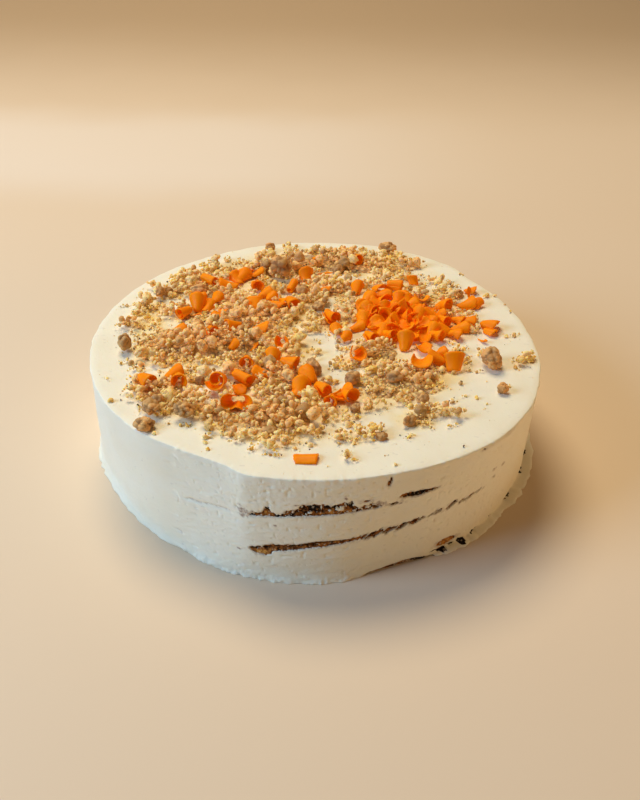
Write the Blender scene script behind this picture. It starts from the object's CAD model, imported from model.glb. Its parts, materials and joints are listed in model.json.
"""Looks of a round carrot cake: scraped cream coat, sponge layers, crushed walnuts and orange curls.

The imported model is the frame: every size and place is read from it. Metres, +Z up, front at -Y.
"""

import json
import math

import bmesh
import bpy
import numpy as np
from mathutils import Matrix, Vector
from mathutils.bvhtree import BVHTree

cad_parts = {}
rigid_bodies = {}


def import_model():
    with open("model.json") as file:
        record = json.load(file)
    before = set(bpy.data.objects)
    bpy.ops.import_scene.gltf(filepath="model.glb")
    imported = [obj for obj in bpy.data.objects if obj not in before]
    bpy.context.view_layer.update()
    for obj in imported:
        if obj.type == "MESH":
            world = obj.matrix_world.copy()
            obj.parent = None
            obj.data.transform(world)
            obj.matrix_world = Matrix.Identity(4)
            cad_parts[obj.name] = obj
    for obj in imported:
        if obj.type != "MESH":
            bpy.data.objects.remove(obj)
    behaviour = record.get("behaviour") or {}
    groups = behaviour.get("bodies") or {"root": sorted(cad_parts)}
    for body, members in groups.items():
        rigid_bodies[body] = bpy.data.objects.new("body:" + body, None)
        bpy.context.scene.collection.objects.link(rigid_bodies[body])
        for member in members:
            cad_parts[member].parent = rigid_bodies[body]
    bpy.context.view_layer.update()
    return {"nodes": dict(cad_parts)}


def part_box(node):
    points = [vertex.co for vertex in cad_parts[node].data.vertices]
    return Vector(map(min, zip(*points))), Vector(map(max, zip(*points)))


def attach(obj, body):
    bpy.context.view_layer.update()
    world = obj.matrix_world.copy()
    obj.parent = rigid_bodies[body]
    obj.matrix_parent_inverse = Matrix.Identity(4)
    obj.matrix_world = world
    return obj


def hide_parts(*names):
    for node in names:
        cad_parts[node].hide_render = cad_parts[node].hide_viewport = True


bl_info = {
    "name": "Carrot cake",
    "version": (1, 0, 0),
    "blender": (4, 5, 0),
    "location": "3D View > Sidebar > Cake",
    "description": "Builds the looks of a carrot cake round its packed model",
    "category": "Object",
}

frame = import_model()

MM = 0.001
BODY = "root"
CREAM_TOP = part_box("frosting")[1].z
TURN_STEPS = 72

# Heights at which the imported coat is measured: at the floor, above the foot, and below the rim
FOOT_GAUGE = 0.8 * MM
LOW_GAUGE = 9.0 * MM
HIGH_GAUGE = 62.0 * MM

# The coat's rings: fine across the front and over the layers, coarser elsewhere
FRONT_FROM = -124.0
FRONT_TO = -44.0
FINE_DEGREES = 0.26
MIDDLING_TO = -16.0
MIDDLING_DEGREES = 0.42
COARSE_DEGREES = 1.5
BACK_RELIEF = 0.4
RIM_ROUNDING = 0.9 * MM
FILM = 0.3 * MM

# Bare sponge in the coat: degrees round the cake, then the lower and upper edge in millimetres
UPPER_BAND = (
    (-104.6, 45.0, 45.2), (-103.6, 45.0, 46.6), (-102.6, 45.2, 47.4), (-101.6, 45.4, 48.0), (-100.9, 45.7, 48.8),
    (-100.3, 45.9, 53.6), (-99.6, 46.0, 53.0), (-99.1, 46.1, 49.4), (-98.0, 46.2, 47.9), (-97.0, 46.5, 47.8),
    (-96.0, 46.7, 50.4), (-95.0, 47.0, 51.8), (-94.0, 47.4, 51.4), (-93.0, 47.7, 53.0), (-92.3, 47.9, 55.3),
    (-90.0, 48.2, 55.6), (-88.5, 48.2, 55.8), (-87.0, 48.4, 55.4), (-85.4, 48.5, 55.5), (-84.4, 48.6, 55.0),
    (-83.4, 48.8, 55.8), (-81.4, 49.0, 56.4), (-80.8, 49.2, 53.4), (-79.8, 49.4, 51.2), (-78.8, 49.6, 52.2),
    (-77.4, 49.6, 53.2), (-76.4, 49.6, 53.0), (-75.6, 49.6, 51.2), (-74.0, 49.8, 50.8), (-72.0, 50.0, 50.7),
    (-70.0, 50.3, 50.7), (-68.8, 50.5, 50.5),
)
SLASH_BAND = (
    (-70.4, 54.0, 54.4), (-69.8, 53.2, 56.2), (-68.0, 52.8, 56.5), (-66.4, 52.3, 56.3), (-64.0, 53.1, 55.9),
    (-62.0, 53.9, 55.4), (-60.6, 54.5, 54.9),
)
LOWER_BAND = (
    (-104.2, 21.8, 22.2), (-103.4, 19.4, 23.6), (-102.8, 18.4, 23.2), (-102.0, 18.8, 24.4), (-101.2, 18.0, 24.4),
    (-100.2, 18.1, 25.8), (-99.3, 19.4, 26.2), (-98.4, 22.0, 26.5), (-96.0, 22.8, 27.1), (-94.0, 23.4, 27.3),
    (-92.0, 24.5, 28.4), (-90.0, 25.5, 29.8), (-88.0, 26.3, 30.2), (-85.0, 27.3, 30.2), (-82.0, 28.2, 30.2),
    (-80.0, 28.5, 30.8), (-78.0, 28.5, 31.4), (-76.0, 28.8, 32.0), (-74.0, 29.4, 32.7), (-72.0, 29.9, 33.1),
    (-70.0, 30.4, 33.4), (-68.0, 31.3, 34.4), (-66.0, 32.3, 35.1), (-64.0, 33.1, 35.2), (-62.6, 33.8, 34.4),
    (-61.4, 34.6, 35.6), (-60.4, 34.4, 36.8), (-58.4, 34.0, 36.6), (-56.4, 35.0, 38.3), (-55.0, 35.2, 38.8),
    (-53.0, 35.3, 37.0), (-51.4, 34.8, 36.2), (-50.0, 36.2, 37.4), (-48.2, 36.3, 37.4), (-46.8, 36.8, 38.0),
    (-45.8, 37.2, 37.6),
)
# Cream left standing within the bands, bare spots, and stains where the cream is thin: degrees, height,
# half width, half height
CREAM_ISLANDS = (
    (-83.9, 52.6, 2.6, 1.6), (-88.2, 54.2, 0.5, 1.6), (-86.4, 51.6, 1.1, 0.7), (-90.6, 50.2, 1.3, 0.5),
    (-101.3, 24.4, 0.7, 1.1), (-96.6, 50.6, 1.1, 1.0), (-77.7, 51.6, 1.5, 0.7), (-94.4, 50.6, 0.9, 0.9),
)
BARE_SPOTS = (
    (-73.1, 65.8, 1.0, 1.8), (-72.7, 68.0, 0.6, 1.9), (-49.2, 70.6, 1.7, 0.8), (-78.0, 55.6, 2.2, 0.6),
    (-55.7, 6.9, 7.2, 2.5), (-43.0, 47.0, 1.0, 0.6), (-39.0, 44.8, 0.9, 0.8), (-42.4, 40.2, 0.7, 0.5),
)
STAINS = (
    (-105.7, 47.0, 4.4, 4.6), (-82.8, 59.6, 1.9, 1.5), (-93.4, 55.2, 1.9, 0.7), (-75.0, 52.6, 4.0, 2.6),
    (-98.3, 40.0, 1.2, 0.7), (-95.4, 40.2, 1.0, 0.7), (-106.8, 19.0, 2.0, 1.2), (-71.0, 49.6, 6.0, 0.8),
)
# Black hollows and golden crumb in the bare sponge, in the same way
VOIDS = ((-89.9, 53.4, 3.4, 2.8), (-66.0, 54.4, 9.0, 2.6), (-100.0, 52.6, 1.4, 1.9), (-86.4, 54.4, 3.6, 1.8), (-82.0, 54.6, 2.4, 1.8),
         (-97.4, 47.2, 2.6, 1.0), (-92.4, 54.0, 2.0, 1.6), (-103.4, 45.6, 2.0, 0.8), (-76.6, 51.0, 3.0, 1.0))
GOLDEN = ((-101.6, 19.4, 6.0, 3.0), (-55.7, 6.9, 12.0, 6.0), (-100.4, 48.0, 5.0, 2.4), (-84.0, 49.8, 12.0, 1.8))
# The wall's lower edge stands clear of the floor here, to these heights, and a cracked ledge lies beyond
WALL_GAP = ((-79.0, 0.0), (-76.5, 1.3), (-72.0, 2.3), (-68.0, 3.3), (-64.0, 2.9), (-61.0, 1.0), (-58.0, 0.0))
FLARE_ENDS = ((-88.0, 0.0), (-76.0, 1.0), (-66.0, 1.0), (-60.0, 0.0))
LEDGE_FROM = -66.0
LEDGE_TO = 30.0
FOOT_HOLES = ((-57.2, 2.3, 3.9, 1.9), (-51.2, 2.1, 3.4, 1.6), (-46.0, 2.6, 2.2, 0.8), (-39.0, 3.4, 1.6, 1.1),
              (-31.0, 3.0, 2.6, 0.7), (-27.0, 3.2, 2.0, 0.7))
FOOT_SHADE = 4.0
FOOT_CRACK_FROM = -62.0
FOOT_CRACK_TO = 2.0
# Creases in the coat: depth and half width in millimetres, then marks of degrees and height
CREASES = (
    (0.95, 0.75, ((-123.0, 39.2), (-119.0, 40.2), (-116.0, 41.0), (-113.0, 42.0), (-110.0, 42.9), (-107.6, 43.0))),
    (1.3, 0.75, ((-149.0, 17.4), (-138.0, 16.6), (-133.0, 15.6), (-130.0, 14.3), (-128.4, 13.8), (-122.0, 11.2))),
    (0.25, 0.9, ((-107.0, 72.0), (-106.6, 60.0), (-107.4, 50.0), (-106.8, 44.0))),
)

# Where the crushed walnuts lie thicker, or bare windows where the amount is negative: centre x and y,
# half widths x and y, in millimetres, and amount
BASE_COVER = 0.36
COVER_PATCHES = (
    (-74, -9, 33, 15, 0.9), (-44, -4, 14, 9, 0.5), (-96, -24, 10, 10, 0.35), (12, 104, 44, 13, 0.55),
    (44, 96, 16, 9, 0.35), (-38, 100, 14, 11, 0.45), (-24, 92, 14, 10, 0.4), (-58, 22, 12, 8, 0.5),
    (-28, 28, 20, 8, 0.55), (12, 60, 10, 12, 0.5), (-6, 52, 10, 9, 0.3), (-14, 20, 14, 8, 0.3), (40, -14, 15, 8, 0.7),
    (54, -44, 24, 11, 0.75), (40, -58, 14, 8, 0.5), (-18, -88, 17, 13, 0.75), (-46, -82, 22, 8, 0.55),
    (-24, -44, 13, 9, 0.65), (4, -74, 18, 7, 0.4), (-24, -62, 12, 8, 0.35), (-92, -58, 15, 8, 0.45),
    (-104, -56, 10, 8, 0.3), (58, -84, 12, 7, 0.4), (-101, 58, 8, 6, 0.4), (-108, 36, 9, 7, 0.4),
    (-118, 13, 6, 7, 0.4), (-62, 94, 18, 7, 0.3), (68, 56, 11, 8, 0.5), (88, 60, 9, 8, 0.3), (70, 92, 10, 16, 0.2),
    (-119, -34, 7, 16, 0.2), (98, 96, 12, 8, 0.35), (102, 26, 9, 9, 0.3), (114, 46, 8, 8, 0.3), (-90, 76, 12, 9, 0.3), (-72, -72, 13, 8, 0.45), (-110, -66, 8, 9, 0.5), (-50, 52, 12, 9, 0.5), (12, 30, 8, 10, 0.3), (88, 30, 10, 10, 0.4),
    (8, -70, 8, 8, -0.45), (30, -90, 12, 8, -0.35), (72, -70, 10, 8, -0.3), (70, -10, 10, 9, -0.35), (90, 72, 9, 8, -0.3),
    (70, 90, 10, 8, -0.35), (110, -28, 8, 9, -0.25), (-32, 128, 12, 6, -0.4), (6, -34, 7, 8, -1.0), (15, -47, 7, 4, -1.0), (6, -1, 5, 7, -0.9), (9, 44, 4, 12, -0.7), (-98, 40, 8, 8, -0.5),
    (-62, -54, 6, 6, -0.4), (-100, -36, 7, 8, -0.5), (-72, -58, 7, 5, -0.5), (32, -36, 9, 4, -0.5),
    (-30, 60, 9, 4, -0.4), (22, 84, 8, 5, -0.5), (98, 4, 10, 10, -0.4), (80, -20, 8, 6, -0.4),
    (-60, -66, 4, 4, -0.6), (-44, 54, 10, 5, -0.4), (28, -90, 10, 6, -0.3), (-52, 36, 5, 4, -0.5),
)
COVER_EDGE = 7.0
STRAY_CRUMBS = 0.05
CRUMB_REACH = 137.0
FRONT_CLEAR = -110.0
PILE_LIMIT = 3.2

# Sizes of crushed walnut: name, how many, smallest and largest across in millimetres, how many of ten
# lie close against larger ones, seed
CRUMB_SIZES = (
    ("walnut_lumps", 350, 5.2, 9.4, 0, 11),
    ("walnut_knobs", 1650, 3.4, 5.4, 6, 12),
    ("walnut_crumbs", 3000, 2.3, 3.8, 7, 13),
    ("walnut_grains", 3000, 1.3, 2.3, 7, 14),
    ("walnut_meal", 3800, 0.5, 1.1, 6, 15),
    ("walnut_skin_flecks", 1600, 0.7, 2.1, 6, 16),
)

# Walnut fragments between the large pieces: x, y, length, width, height in millimetres, heading, darkness
WALNUT_SINK = 0.8 * MM
FRAGMENTS = (
    (-1, -36, 13, 7, 9, -60, 0.1), (22, -49, 10, 9, 9, 20, 0.25), (-76, 10, 10, 8, 8, 30, 0.15),
    (-68, -51, 6, 6, 6, 0, 0.8), (1, 39, 9, 8, 7, 50, 0.0), (47, -49, 10, 8, 8, 10, 0.3), (53, -89, 10, 7, 7, 35, 0.2),
    (-102, 57, 9, 7, 6, 20, 0.15), (-25, -100, 9, 7, 6, -15, 0.0), (23, -77, 6, 6, 6, 0, 0.4),
    (37, -102, 7, 6, 5, 0, 0.35), (-47, 2, 9, 8, 7, 70, 0.1), (-36, 92, 9, 8, 8, 15, 0.1), (96, 60, 9, 7, 6, 40, 0.2),
    (62, -66, 8, 7, 6, -30, 0.15), (-10, 60, 9, 8, 8, 0, 0.2), (-90, -72, 8, 7, 7, 10, 0.2), (14, 92, 9, 8, 7, 0, 0.1),
)

# Loose curls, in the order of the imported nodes: kind, heading and lift of the wide end, roll, size
CURLS = (
    ("cup", -45, 0, 30, 1.05), ("petal", 45, 8, 0, 1.0), ("cup", -85, 12, 0, 1.0), ("scroll", -102, 30, 40, 1.25),
    ("cup", -88, 12, 0, 0.95), ("roll", -42, 0, 0, 1.05), ("petal", 165, 0, 0, 1.05), ("double", -90, 25, 0, 1.1),
    ("petal", 92, 38, 0, 0.95), ("cup", -25, 0, -20, 1.0), ("roll", -38, 0, 0, 0.95), ("petal", 178, 5, 0, 1.1),
    ("petal", 62, 10, 20, 1.0), ("petal", 30, 12, -30, 0.85), ("cup", -82, 8, 0, 0.9), ("petal", 92, 38, 0, 1.1),
    ("petal", 62, 10, -15, 0.85), ("scroll", -128, 5, 0, 0.95), ("strip", 92, 35, 0, 1.1), ("petal", -35, 0, 0, 1.05),
    ("cup", -62, 0, 0, 0.95), ("roll", 68, 12, 0, 0.85), ("petal", 95, 42, 0, 1.0), ("petal", 42, 0, 0, 1.05),
    ("scroll", -66, 18, 0, 0.9), ("cup", -150, 10, 0, 1.05), ("petal", 10, 10, 0, 1.1), ("cup", -92, 30, 180, 0.95),
    ("scroll", -58, 5, 0, 1.05), ("petal", 118, 12, 0, 1.05), ("petal", 72, 16, 20, 1.1), ("scroll", -52, 5, 0, 0.9),
    ("cup", -62, 20, 0, 0.95), ("tile", 0, 0, 0, 1.0), ("cup", -62, 35, 180, 1.1), ("petal", 20, 8, 0, 1.1),
    ("petal", 5, 6, 0, 0.95), ("petal", -28, 6, 0, 1.0), ("shell", 92, 40, 0, 1.05), ("petal", -92, 25, 180, 1.3),
    ("petal", 150, 8, 0, 1.05), ("scroll", -12, 0, 0, 1.0), ("scroll", -75, 25, 0, 0.85),
)
# Small curls and slivers that lie between them: kind, x and y in millimetres, heading, lift, roll, size
LESSER_CURLS = (
    ("petal", -31, 52, 60, 10, 0, 0.75), ("petal", -3, 105, -60, 15, 0, 0.9), ("sliver", 5, 87, -20, 0, 0, 1.1),
    ("petal", 13, 9, 100, 10, 0, 0.8), ("petal", 18, -1, 60, 0, 40, 0.7), ("shell", 13, -66, 20, 0, 180, 0.7),
    ("strip", 66, 80, 92, 50, 0, 0.75), ("petal", 105, 65, -10, 10, 0, 0.7), ("sliver", 102, 57, 100, 50, 0, 1.0),
    ("petal", 107, 46, 60, 10, 0, 0.75), ("petal", 111, 11, -40, 0, 0, 0.75), ("sliver", 105, 1, -50, 0, 0, 0.8),
    ("sliver", -38, -12, 40, 10, 0, 0.9), ("sliver", -78, 28, 10, 0, 0, 0.6), ("petal", -62, 32, -20, 0, 0, 0.55),
    ("sliver", -68, 28, 80, 0, 0, 0.6), ("petal", -56, 76, 120, 20, 0, 0.9), ("cup", -43, 67, -70, 15, 0, 0.8),
    ("petal", -35, 56, 30, 15, 0, 0.85), ("flake", -22, 48, -40, 10, 0, 0.8), ("petal", -72, 37, 70, 10, 0, 0.85),
    ("flake", -64, 26, 150, 0, 0, 0.8), ("petal", -51, -14, 60, 10, 0, 0.7), ("cup", 9, -71, -100, 15, 0, 0.85),
    ("petal", 17, -60, 30, 10, 0, 0.9), ("flake", -45, -57, -60, 10, 180, 0.9), ("petal", 66, -9, -70, 20, 180, 0.95),
    ("flake", 77, -16, 30, 10, 0, 0.9), ("petal", -79, 50, 40, 5, 0, 0.8), ("petal", -50, 84, -20, 10, 0, 0.8),
    ("flake", -14, 108, 30, 10, 0, 0.8), ("petal", 6, 62, -30, 10, 0, 0.7),
)
# The heap, laid from the bottom up
HEAP_CURLS = (
    ("petal", 34, 50, 60, 5, 0, 1.0), ("flake", 44, 56, 20, 0, 0, 1.1), ("cup", 56, 52, -30, 0, 0, 0.9),
    ("petal", 70, 50, -92, 40, 180, 1.0), ("petal", 84, 42, 20, 5, 0, 1.0), ("cup", 84, 40, -45, 20, 0, 0.9),
    ("flake", 30, 40, 100, 10, 0, 1.0), ("petal", 40, 42, 150, 10, 20, 1.0), ("cup", 52, 40, -80, 15, 0, 0.9),
    ("petal", 62, 40, 40, 10, 0, 1.0), ("flake", 74, 30, 150, 15, 0, 1.0), ("scroll", 82, 22, -60, 10, 0, 0.85),
    ("petal", 92, 14, 20, 5, 0, 1.0), ("flake", 88, 6, -20, 10, 0, 1.0), ("petal", 30, 22, 80, 12, 0, 1.0),
    ("petal", 26, 14, 40, 0, 0, 0.9), ("scroll", 34, 0, -60, 10, 0, 0.9), ("scroll", 46, 2, -50, 20, 0, 0.9),
    ("flake", 40, 18, 100, 20, 0, 1.1), ("cup", 38, 30, -70, 30, 0, 1.0), ("cup", 50, 28, -60, 30, 0, 1.0),
    ("petal", 60, 26, 20, 15, 180, 1.0), ("flake", 72, 16, 170, 10, 180, 1.1), ("petal", 82, 10, 160, 15, 0, 1.0),
    ("shell", 56, 14, -80, 35, 180, 1.0), ("petal", 68, 4, -100, 15, 180, 1.0), ("cup", 76, 2, -40, 10, 0, 0.9),
    ("petal", 56, -6, 85, 40, 0, 1.1), ("flake", 50, 18, 140, 30, 0, 1.0), ("cup", 62, 16, -100, 40, 180, 0.9),
    ("petal", 44, 46, -50, 30, 0, 1.0), ("flake", 50, 36, 30, 25, 0, 1.0), ("petal", 34, 34, 120, 30, 0, 0.9),
    ("cup", 44, 24, -95, 35, 0, 0.95), ("scroll", 56, 34, -70, 30, 0, 0.85), ("petal", 66, 24, 60, 30, 0, 0.9),
    ("flake", 66, 12, 10, 30, 180, 1.0), ("strip", 76, 22, 60, 20, 0, 0.8), ("petal", 42, 8, 60, 20, 0, 0.9),
    ("petal", 27, 64, 80, 25, 0, 0.9), ("petal", 42, 64, -50, 20, 0, 0.9), ("flake", 60, 44, 100, 30, 0, 0.9),
    ("sliver", 70, 36, 60, 20, 0, 0.9), ("petal", 92, 24, -30, 10, 0, 0.8), ("flake", 50, 8, -120, 25, 0, 1.0),
    ("petal", 36, 14, -30, 35, 180, 0.85), ("flake", 48, 30, -160, 35, 180, 0.95), ("petal", 58, 22, -20, 40, 0, 0.8),
    ("flake", 68, 30, 120, 40, 180, 0.9), ("petal", 54, 44, 70, 35, 0, 0.85), ("flake", 40, 38, -110, 40, 180, 0.85),
    ("petal", 74, 8, 60, 35, 0, 0.85), ("flake", 60, 4, -60, 35, 180, 0.9), ("petal", 46, 14, 10, 40, 0, 0.8),
    ("flake", 82, 30, 30, 30, 0, 0.8), ("petal", 64, 36, -80, 40, 180, 0.8), ("flake", 34, 26, 40, 40, 180, 0.85),
    ("sliver", 52, 24, 20, 30, 0, 1.0), ("petal", 56, 30, 150, 45, 0, 0.8), ("flake", 44, 32, 80, 45, 0, 0.8),
)
HEAP_SINK = 0.8 * MM
HEAP_CEILING = 17.0
NESTING = 82.0
# Loose curls nest a little deeper, and crumbs gather round them
LOOSE_SINK = 0.3 * MM
LOOSE_NESTING = 80.0
GATHERED_BY_CURLS = 0.3
CURL_MIDDLES = [0.5 * (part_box(name)[0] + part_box(name)[1]) / MM for name in frame["nodes"] if name.startswith("curl_")]

# Kinds of curl: turn in degrees, outer and inner radius, length, narrowing to the small end and
# drawing-in of the corners. Lengths are in millimetres.
CURL_KINDS = {
    "petal": (165.0, 5.0, 4.8, 12.5, 0.42, 0.45),
    "shell": (150.0, 6.2, 6.0, 11.0, 0.35, 0.12),
    "cup": (300.0, 4.8, 3.6, 10.5, 0.58, 0.35),
    "scroll": (560.0, 4.8, 1.5, 10.5, 0.36, 0.15),
    "roll": (400.0, 3.4, 2.0, 12.0, 0.05, 0.10),
    "strip": (80.0, 7.0, 7.0, 9.0, 0.0, 0.05),
    "tile": (70.0, 7.0, 7.0, 13.0, 0.0, 0.04),
    "double": (265.0, 3.7, 3.7, 11.0, 0.5, 0.10),
    "sliver": (60.0, 3.2, 3.2, 10.0, 0.7, 0.8),
    "flake": (110.0, 5.6, 5.2, 11.5, 0.40, 0.50),
}
DOUBLE_START = -140.0
CURL_GLOW = 0.055
STRAIGHT_KINDS = ("tile", "double", "roll")
CURL_ALONG = 9
CURL_DEGREES_PER_CELL = 11.0


def value_of(group, name):
    """A size or colour as it stands in the sidebar."""
    value = getattr(getattr(bpy.context.scene, group), name)
    return value if isinstance(value, float) else tuple(value)


# Noise and smooth steps


def cell_value(cell, seed):
    """A fixed value between -1 and 1 for each whole-number cell."""
    mixed = cell[..., 0] * 73856093 ^ cell[..., 1] * 19349663 ^ cell[..., 2] * 83492791 ^ seed * 265443577
    mixed = (mixed ^ (mixed >> 13)) * 127412617 & 0x7FFFFFFF
    mixed = (mixed ^ (mixed >> 11)) * 97530861 & 0x7FFFFFFF
    return ((mixed >> 7) & 0xFFFF) / 32767.5 - 1.0


def noise(points, pitch, seed):
    """Smooth noise between -1 and 1; pitch is one number or one for each axis."""
    scaled = np.asarray(points, float) / pitch
    low = np.floor(scaled).astype(np.int64)
    share = scaled - low
    eased = share * share * (3.0 - 2.0 * share)
    total = np.zeros(scaled.shape[:-1])
    for corner in range(8):
        step = np.array([corner & 1, corner >> 1 & 1, corner >> 2 & 1])
        weight = np.prod(np.where(step == 1, eased, 1.0 - eased), axis=-1)
        total += weight * cell_value(low + step, seed)
    return total


def nodules(points, pitch, seed):
    """Distance to the nearest of scattered centres, in pitches: 0 at a centre, about 1 between them."""
    scaled = np.asarray(points, float) / pitch
    low = np.floor(scaled).astype(np.int64)
    nearest = np.full(scaled.shape[:-1], 9.0)
    for corner in range(27):
        cell = low + np.array([corner % 3 - 1, corner // 3 % 3 - 1, corner // 9 - 1])
        centre = cell + 0.5 + 0.5 * np.stack([cell_value(cell, seed + axis) for axis in range(3)], axis=-1)
        nearest = np.minimum(nearest, np.linalg.norm(scaled - centre, axis=-1))
    return nearest


def smooth(low, high, value):
    """Eased step from 0 at low to 1 at high."""
    share = np.clip((value - low) / (high - low), 0.0, 1.0)
    return share * share * (3.0 - 2.0 * share)


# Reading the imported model


def node_tree(name):
    mesh = frame["nodes"][name].data
    return BVHTree.FromPolygons([v.co.copy() for v in mesh.vertices], [tuple(p.vertices) for p in mesh.polygons])


def outer_radii(tree, height):
    """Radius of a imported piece's outside at the even steps it was turned in."""
    radii = []
    for step in range(TURN_STEPS):
        angle = 2.0 * math.pi * (step + 0.001) / TURN_STEPS
        away = Vector((math.cos(angle), math.sin(angle), 0.0))
        hit = tree.ray_cast(away + Vector((0.0, 0.0, height)), -away)[0]
        radii.append(math.hypot(hit.x, hit.y))
    return np.array(radii)


def round_cake(values, degrees):
    """Smooth value at any angle, through values at even steps all the way round."""
    count = len(values)
    place = np.asarray(degrees, float) % 360.0 / 360.0 * count
    first = np.floor(place).astype(int)
    share = place - first
    before, start, end, after = (values[(first + step) % count] for step in (-1, 0, 1, 2))
    bend = 2.0 * before - 5.0 * start + 4.0 * end - after
    twist = -before + 3.0 * start - 3.0 * end + after
    return start + 0.5 * share * ((end - before) + share * (bend + share * twist))


COAT_TREE = node_tree("frosting")
FOOT_RADII = outer_radii(COAT_TREE, FOOT_GAUGE)
LOW_RADII = outer_radii(COAT_TREE, LOW_GAUGE)
HIGH_RADII = outer_radii(COAT_TREE, HIGH_GAUGE)
LAYER_RADII = outer_radii(node_tree("cream_filling"), 0.5 * sum(corner.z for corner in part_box("cream_filling")))
BED_RADII = outer_radii(node_tree("walnut_bed"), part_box("walnut_bed")[0].z + 0.4 * MM)


def wall_radius(degrees, height):
    """Outside of the coat above its foot, leaning straight from the base to the rim."""
    low = round_cake(LOW_RADII, degrees)
    high = round_cake(HIGH_RADII, degrees)
    return low + (high - low) * (height - LOW_GAUGE) / (HIGH_GAUGE - LOW_GAUGE)


# Meshes


def new_piece(name, points, faces, material, smooth_shaded=True):
    mesh = bpy.data.meshes.new(name)
    mesh.from_pydata(np.asarray(points).tolist(), [], np.asarray(faces).tolist())
    mesh.materials.append(material)
    if smooth_shaded:
        mesh.shade_smooth()
    piece = bpy.data.objects.new(name, mesh)
    bpy.context.scene.collection.objects.link(piece)
    return piece


def add_values(piece, name, values):
    made = piece.data.attributes.new(name, "FLOAT", "POINT")
    made.data.foreach_set("value", np.asarray(values, np.float32).ravel())


def turned_rings(rings):
    """Points and faces of a closed body: rings one below another, drawn to a point at either end."""
    rows, columns = rings.shape[:2]
    points = rings.reshape(-1, 3)
    first_pole = rings[0].mean(axis=0)
    last_pole = rings[-1].mean(axis=0)
    here = np.arange(rows * columns).reshape(rows, columns)
    beside = np.roll(here, -1, axis=1)
    walls = np.stack([here[:-1], here[1:], beside[1:], beside[:-1]], axis=-1).reshape(-1, 4).tolist()
    top = [[len(points), a, b] for a, b in zip(here[0], beside[0])]
    bottom = [[len(points) + 1, b, a] for a, b in zip(here[-1], beside[-1])]
    points = np.vstack([points, first_pole, last_pole])
    return points, [list(map(int, face)) for face in top] + walls + [list(map(int, face)) for face in bottom]


def closed_piece(name, rings, material, values):
    """A turned piece with its values kept on its points; each pole takes the mean of its ring."""
    points, faces = turned_rings(rings)
    mesh = bpy.data.meshes.new(name)
    mesh.from_pydata(points.tolist(), [], faces)
    mesh.materials.append(material)
    mesh.shade_smooth()
    piece = bpy.data.objects.new(name, mesh)
    bpy.context.scene.collection.objects.link(piece)
    for key, table in values.items():
        add_values(piece, key, np.concatenate([table.ravel(), [table[0].mean(), table[-1].mean()]]))
    return piece


def coat_columns():
    front = np.arange(FRONT_FROM, FRONT_TO, FINE_DEGREES)
    beside = np.arange(FRONT_TO, MIDDLING_TO, MIDDLING_DEGREES)
    rest = np.linspace(MIDDLING_TO, FRONT_FROM + 360.0, int((360.0 + FRONT_FROM - MIDDLING_TO) / COARSE_DEGREES))[:-1]
    return np.concatenate([front, beside, rest])


def within_band(degrees, height, band, rough_low, rough_high):
    """How far inside a bare band a point of the wall is, in millimetres; negative is outside."""
    marks = np.array(band)
    lower = np.interp(degrees, marks[:, 0], marks[:, 1])
    upper = np.interp(degrees, marks[:, 0], marks[:, 2])
    inside = np.minimum(height - lower - rough_low, upper - height - rough_high)
    span = np.minimum(degrees - marks[0, 0], marks[-1, 0] - degrees) * 2.44
    return np.minimum(inside, span)


def within_spot(degrees, height, spot):
    """How far inside an oval spot a point of the wall is, as a share from 1 at its middle."""
    centre, level, half_width, half_height = spot
    across = (degrees - centre) * 2.44 / half_width
    return 1.0 - np.sqrt(across**2 + ((height - level) / half_height) ** 2)


def wall_place(degrees, height):
    return np.stack([degrees * 2.44, height, np.zeros_like(height)], axis=-1)


def most_within(degrees, height, spots):
    return np.maximum.reduce([within_spot(degrees, height, spot) for spot in spots])


def bare_depth(degrees, height):
    """Millimetres inside the nearest bare sponge, for arrays of degrees and millimetres of height."""
    place = wall_place(degrees, height)
    fine = 0.45 * noise(place, 1.1, 3) + 0.3 * noise(place, 0.65, 4)
    wide = 0.8 * noise(place, 2.2, 5)
    leaning = np.stack([place[..., 0] - 1.1 * height, height, place[..., 2]], axis=-1)
    dashes = noise(leaning, (1.25, 4.5, 1.0), 6)
    broken = smooth(-82.0, -78.0, degrees)
    upper = within_band(degrees, height, UPPER_BAND, 0.3 * fine, 1.2 * fine + wide)
    upper = upper - 1.6 * smooth(0.25, 0.6, noise(place, 1.0, 13)) * smooth(0.2, 0.8, upper)
    torn = smooth(-81.0, -79.0, degrees)
    upper = upper - torn * 1.0 * np.clip(dashes, -0.2, 0.6)
    lower = within_band(degrees, height, LOWER_BAND, fine + 0.35 * wide, 0.35 * fine)
    lower = lower - broken * (0.25 + 2.4 * np.clip(dashes, -0.3, 0.9))
    slash = within_band(degrees, height, SLASH_BAND, 0.25 * fine, 0.3 * fine)
    slash = slash - (1.0 - smooth(-68.4, -67.0, degrees)) * 1.6 * np.clip(dashes, 0.0, 0.7)
    inside = np.maximum(np.maximum(upper, lower), slash)
    for island in CREAM_ISLANDS:
        inside = np.minimum(inside, -1.4 * (within_spot(degrees, height, island) + 1.2 * fine))
    for spot in BARE_SPOTS:
        inside = np.maximum(inside, within_spot(degrees, height, spot) * spot[3] + 0.5 * fine)
    return inside


def crumb_tone(degrees, height):
    """Shade of the bare sponge: 0 in black hollows, 1 where it is golden."""
    place = wall_place(degrees, height)
    tone = 0.42 + 0.3 * noise(place, 1.7, 7) + 0.24 * noise(place, 0.9, 8)
    tone = tone - 0.55 * smooth(0.0, 0.5, most_within(degrees, height, VOIDS) + 0.35 * noise(place, 1.5, 9))
    return tone + 0.3 * smooth(0.0, 0.7, most_within(degrees, height, GOLDEN))


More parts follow.
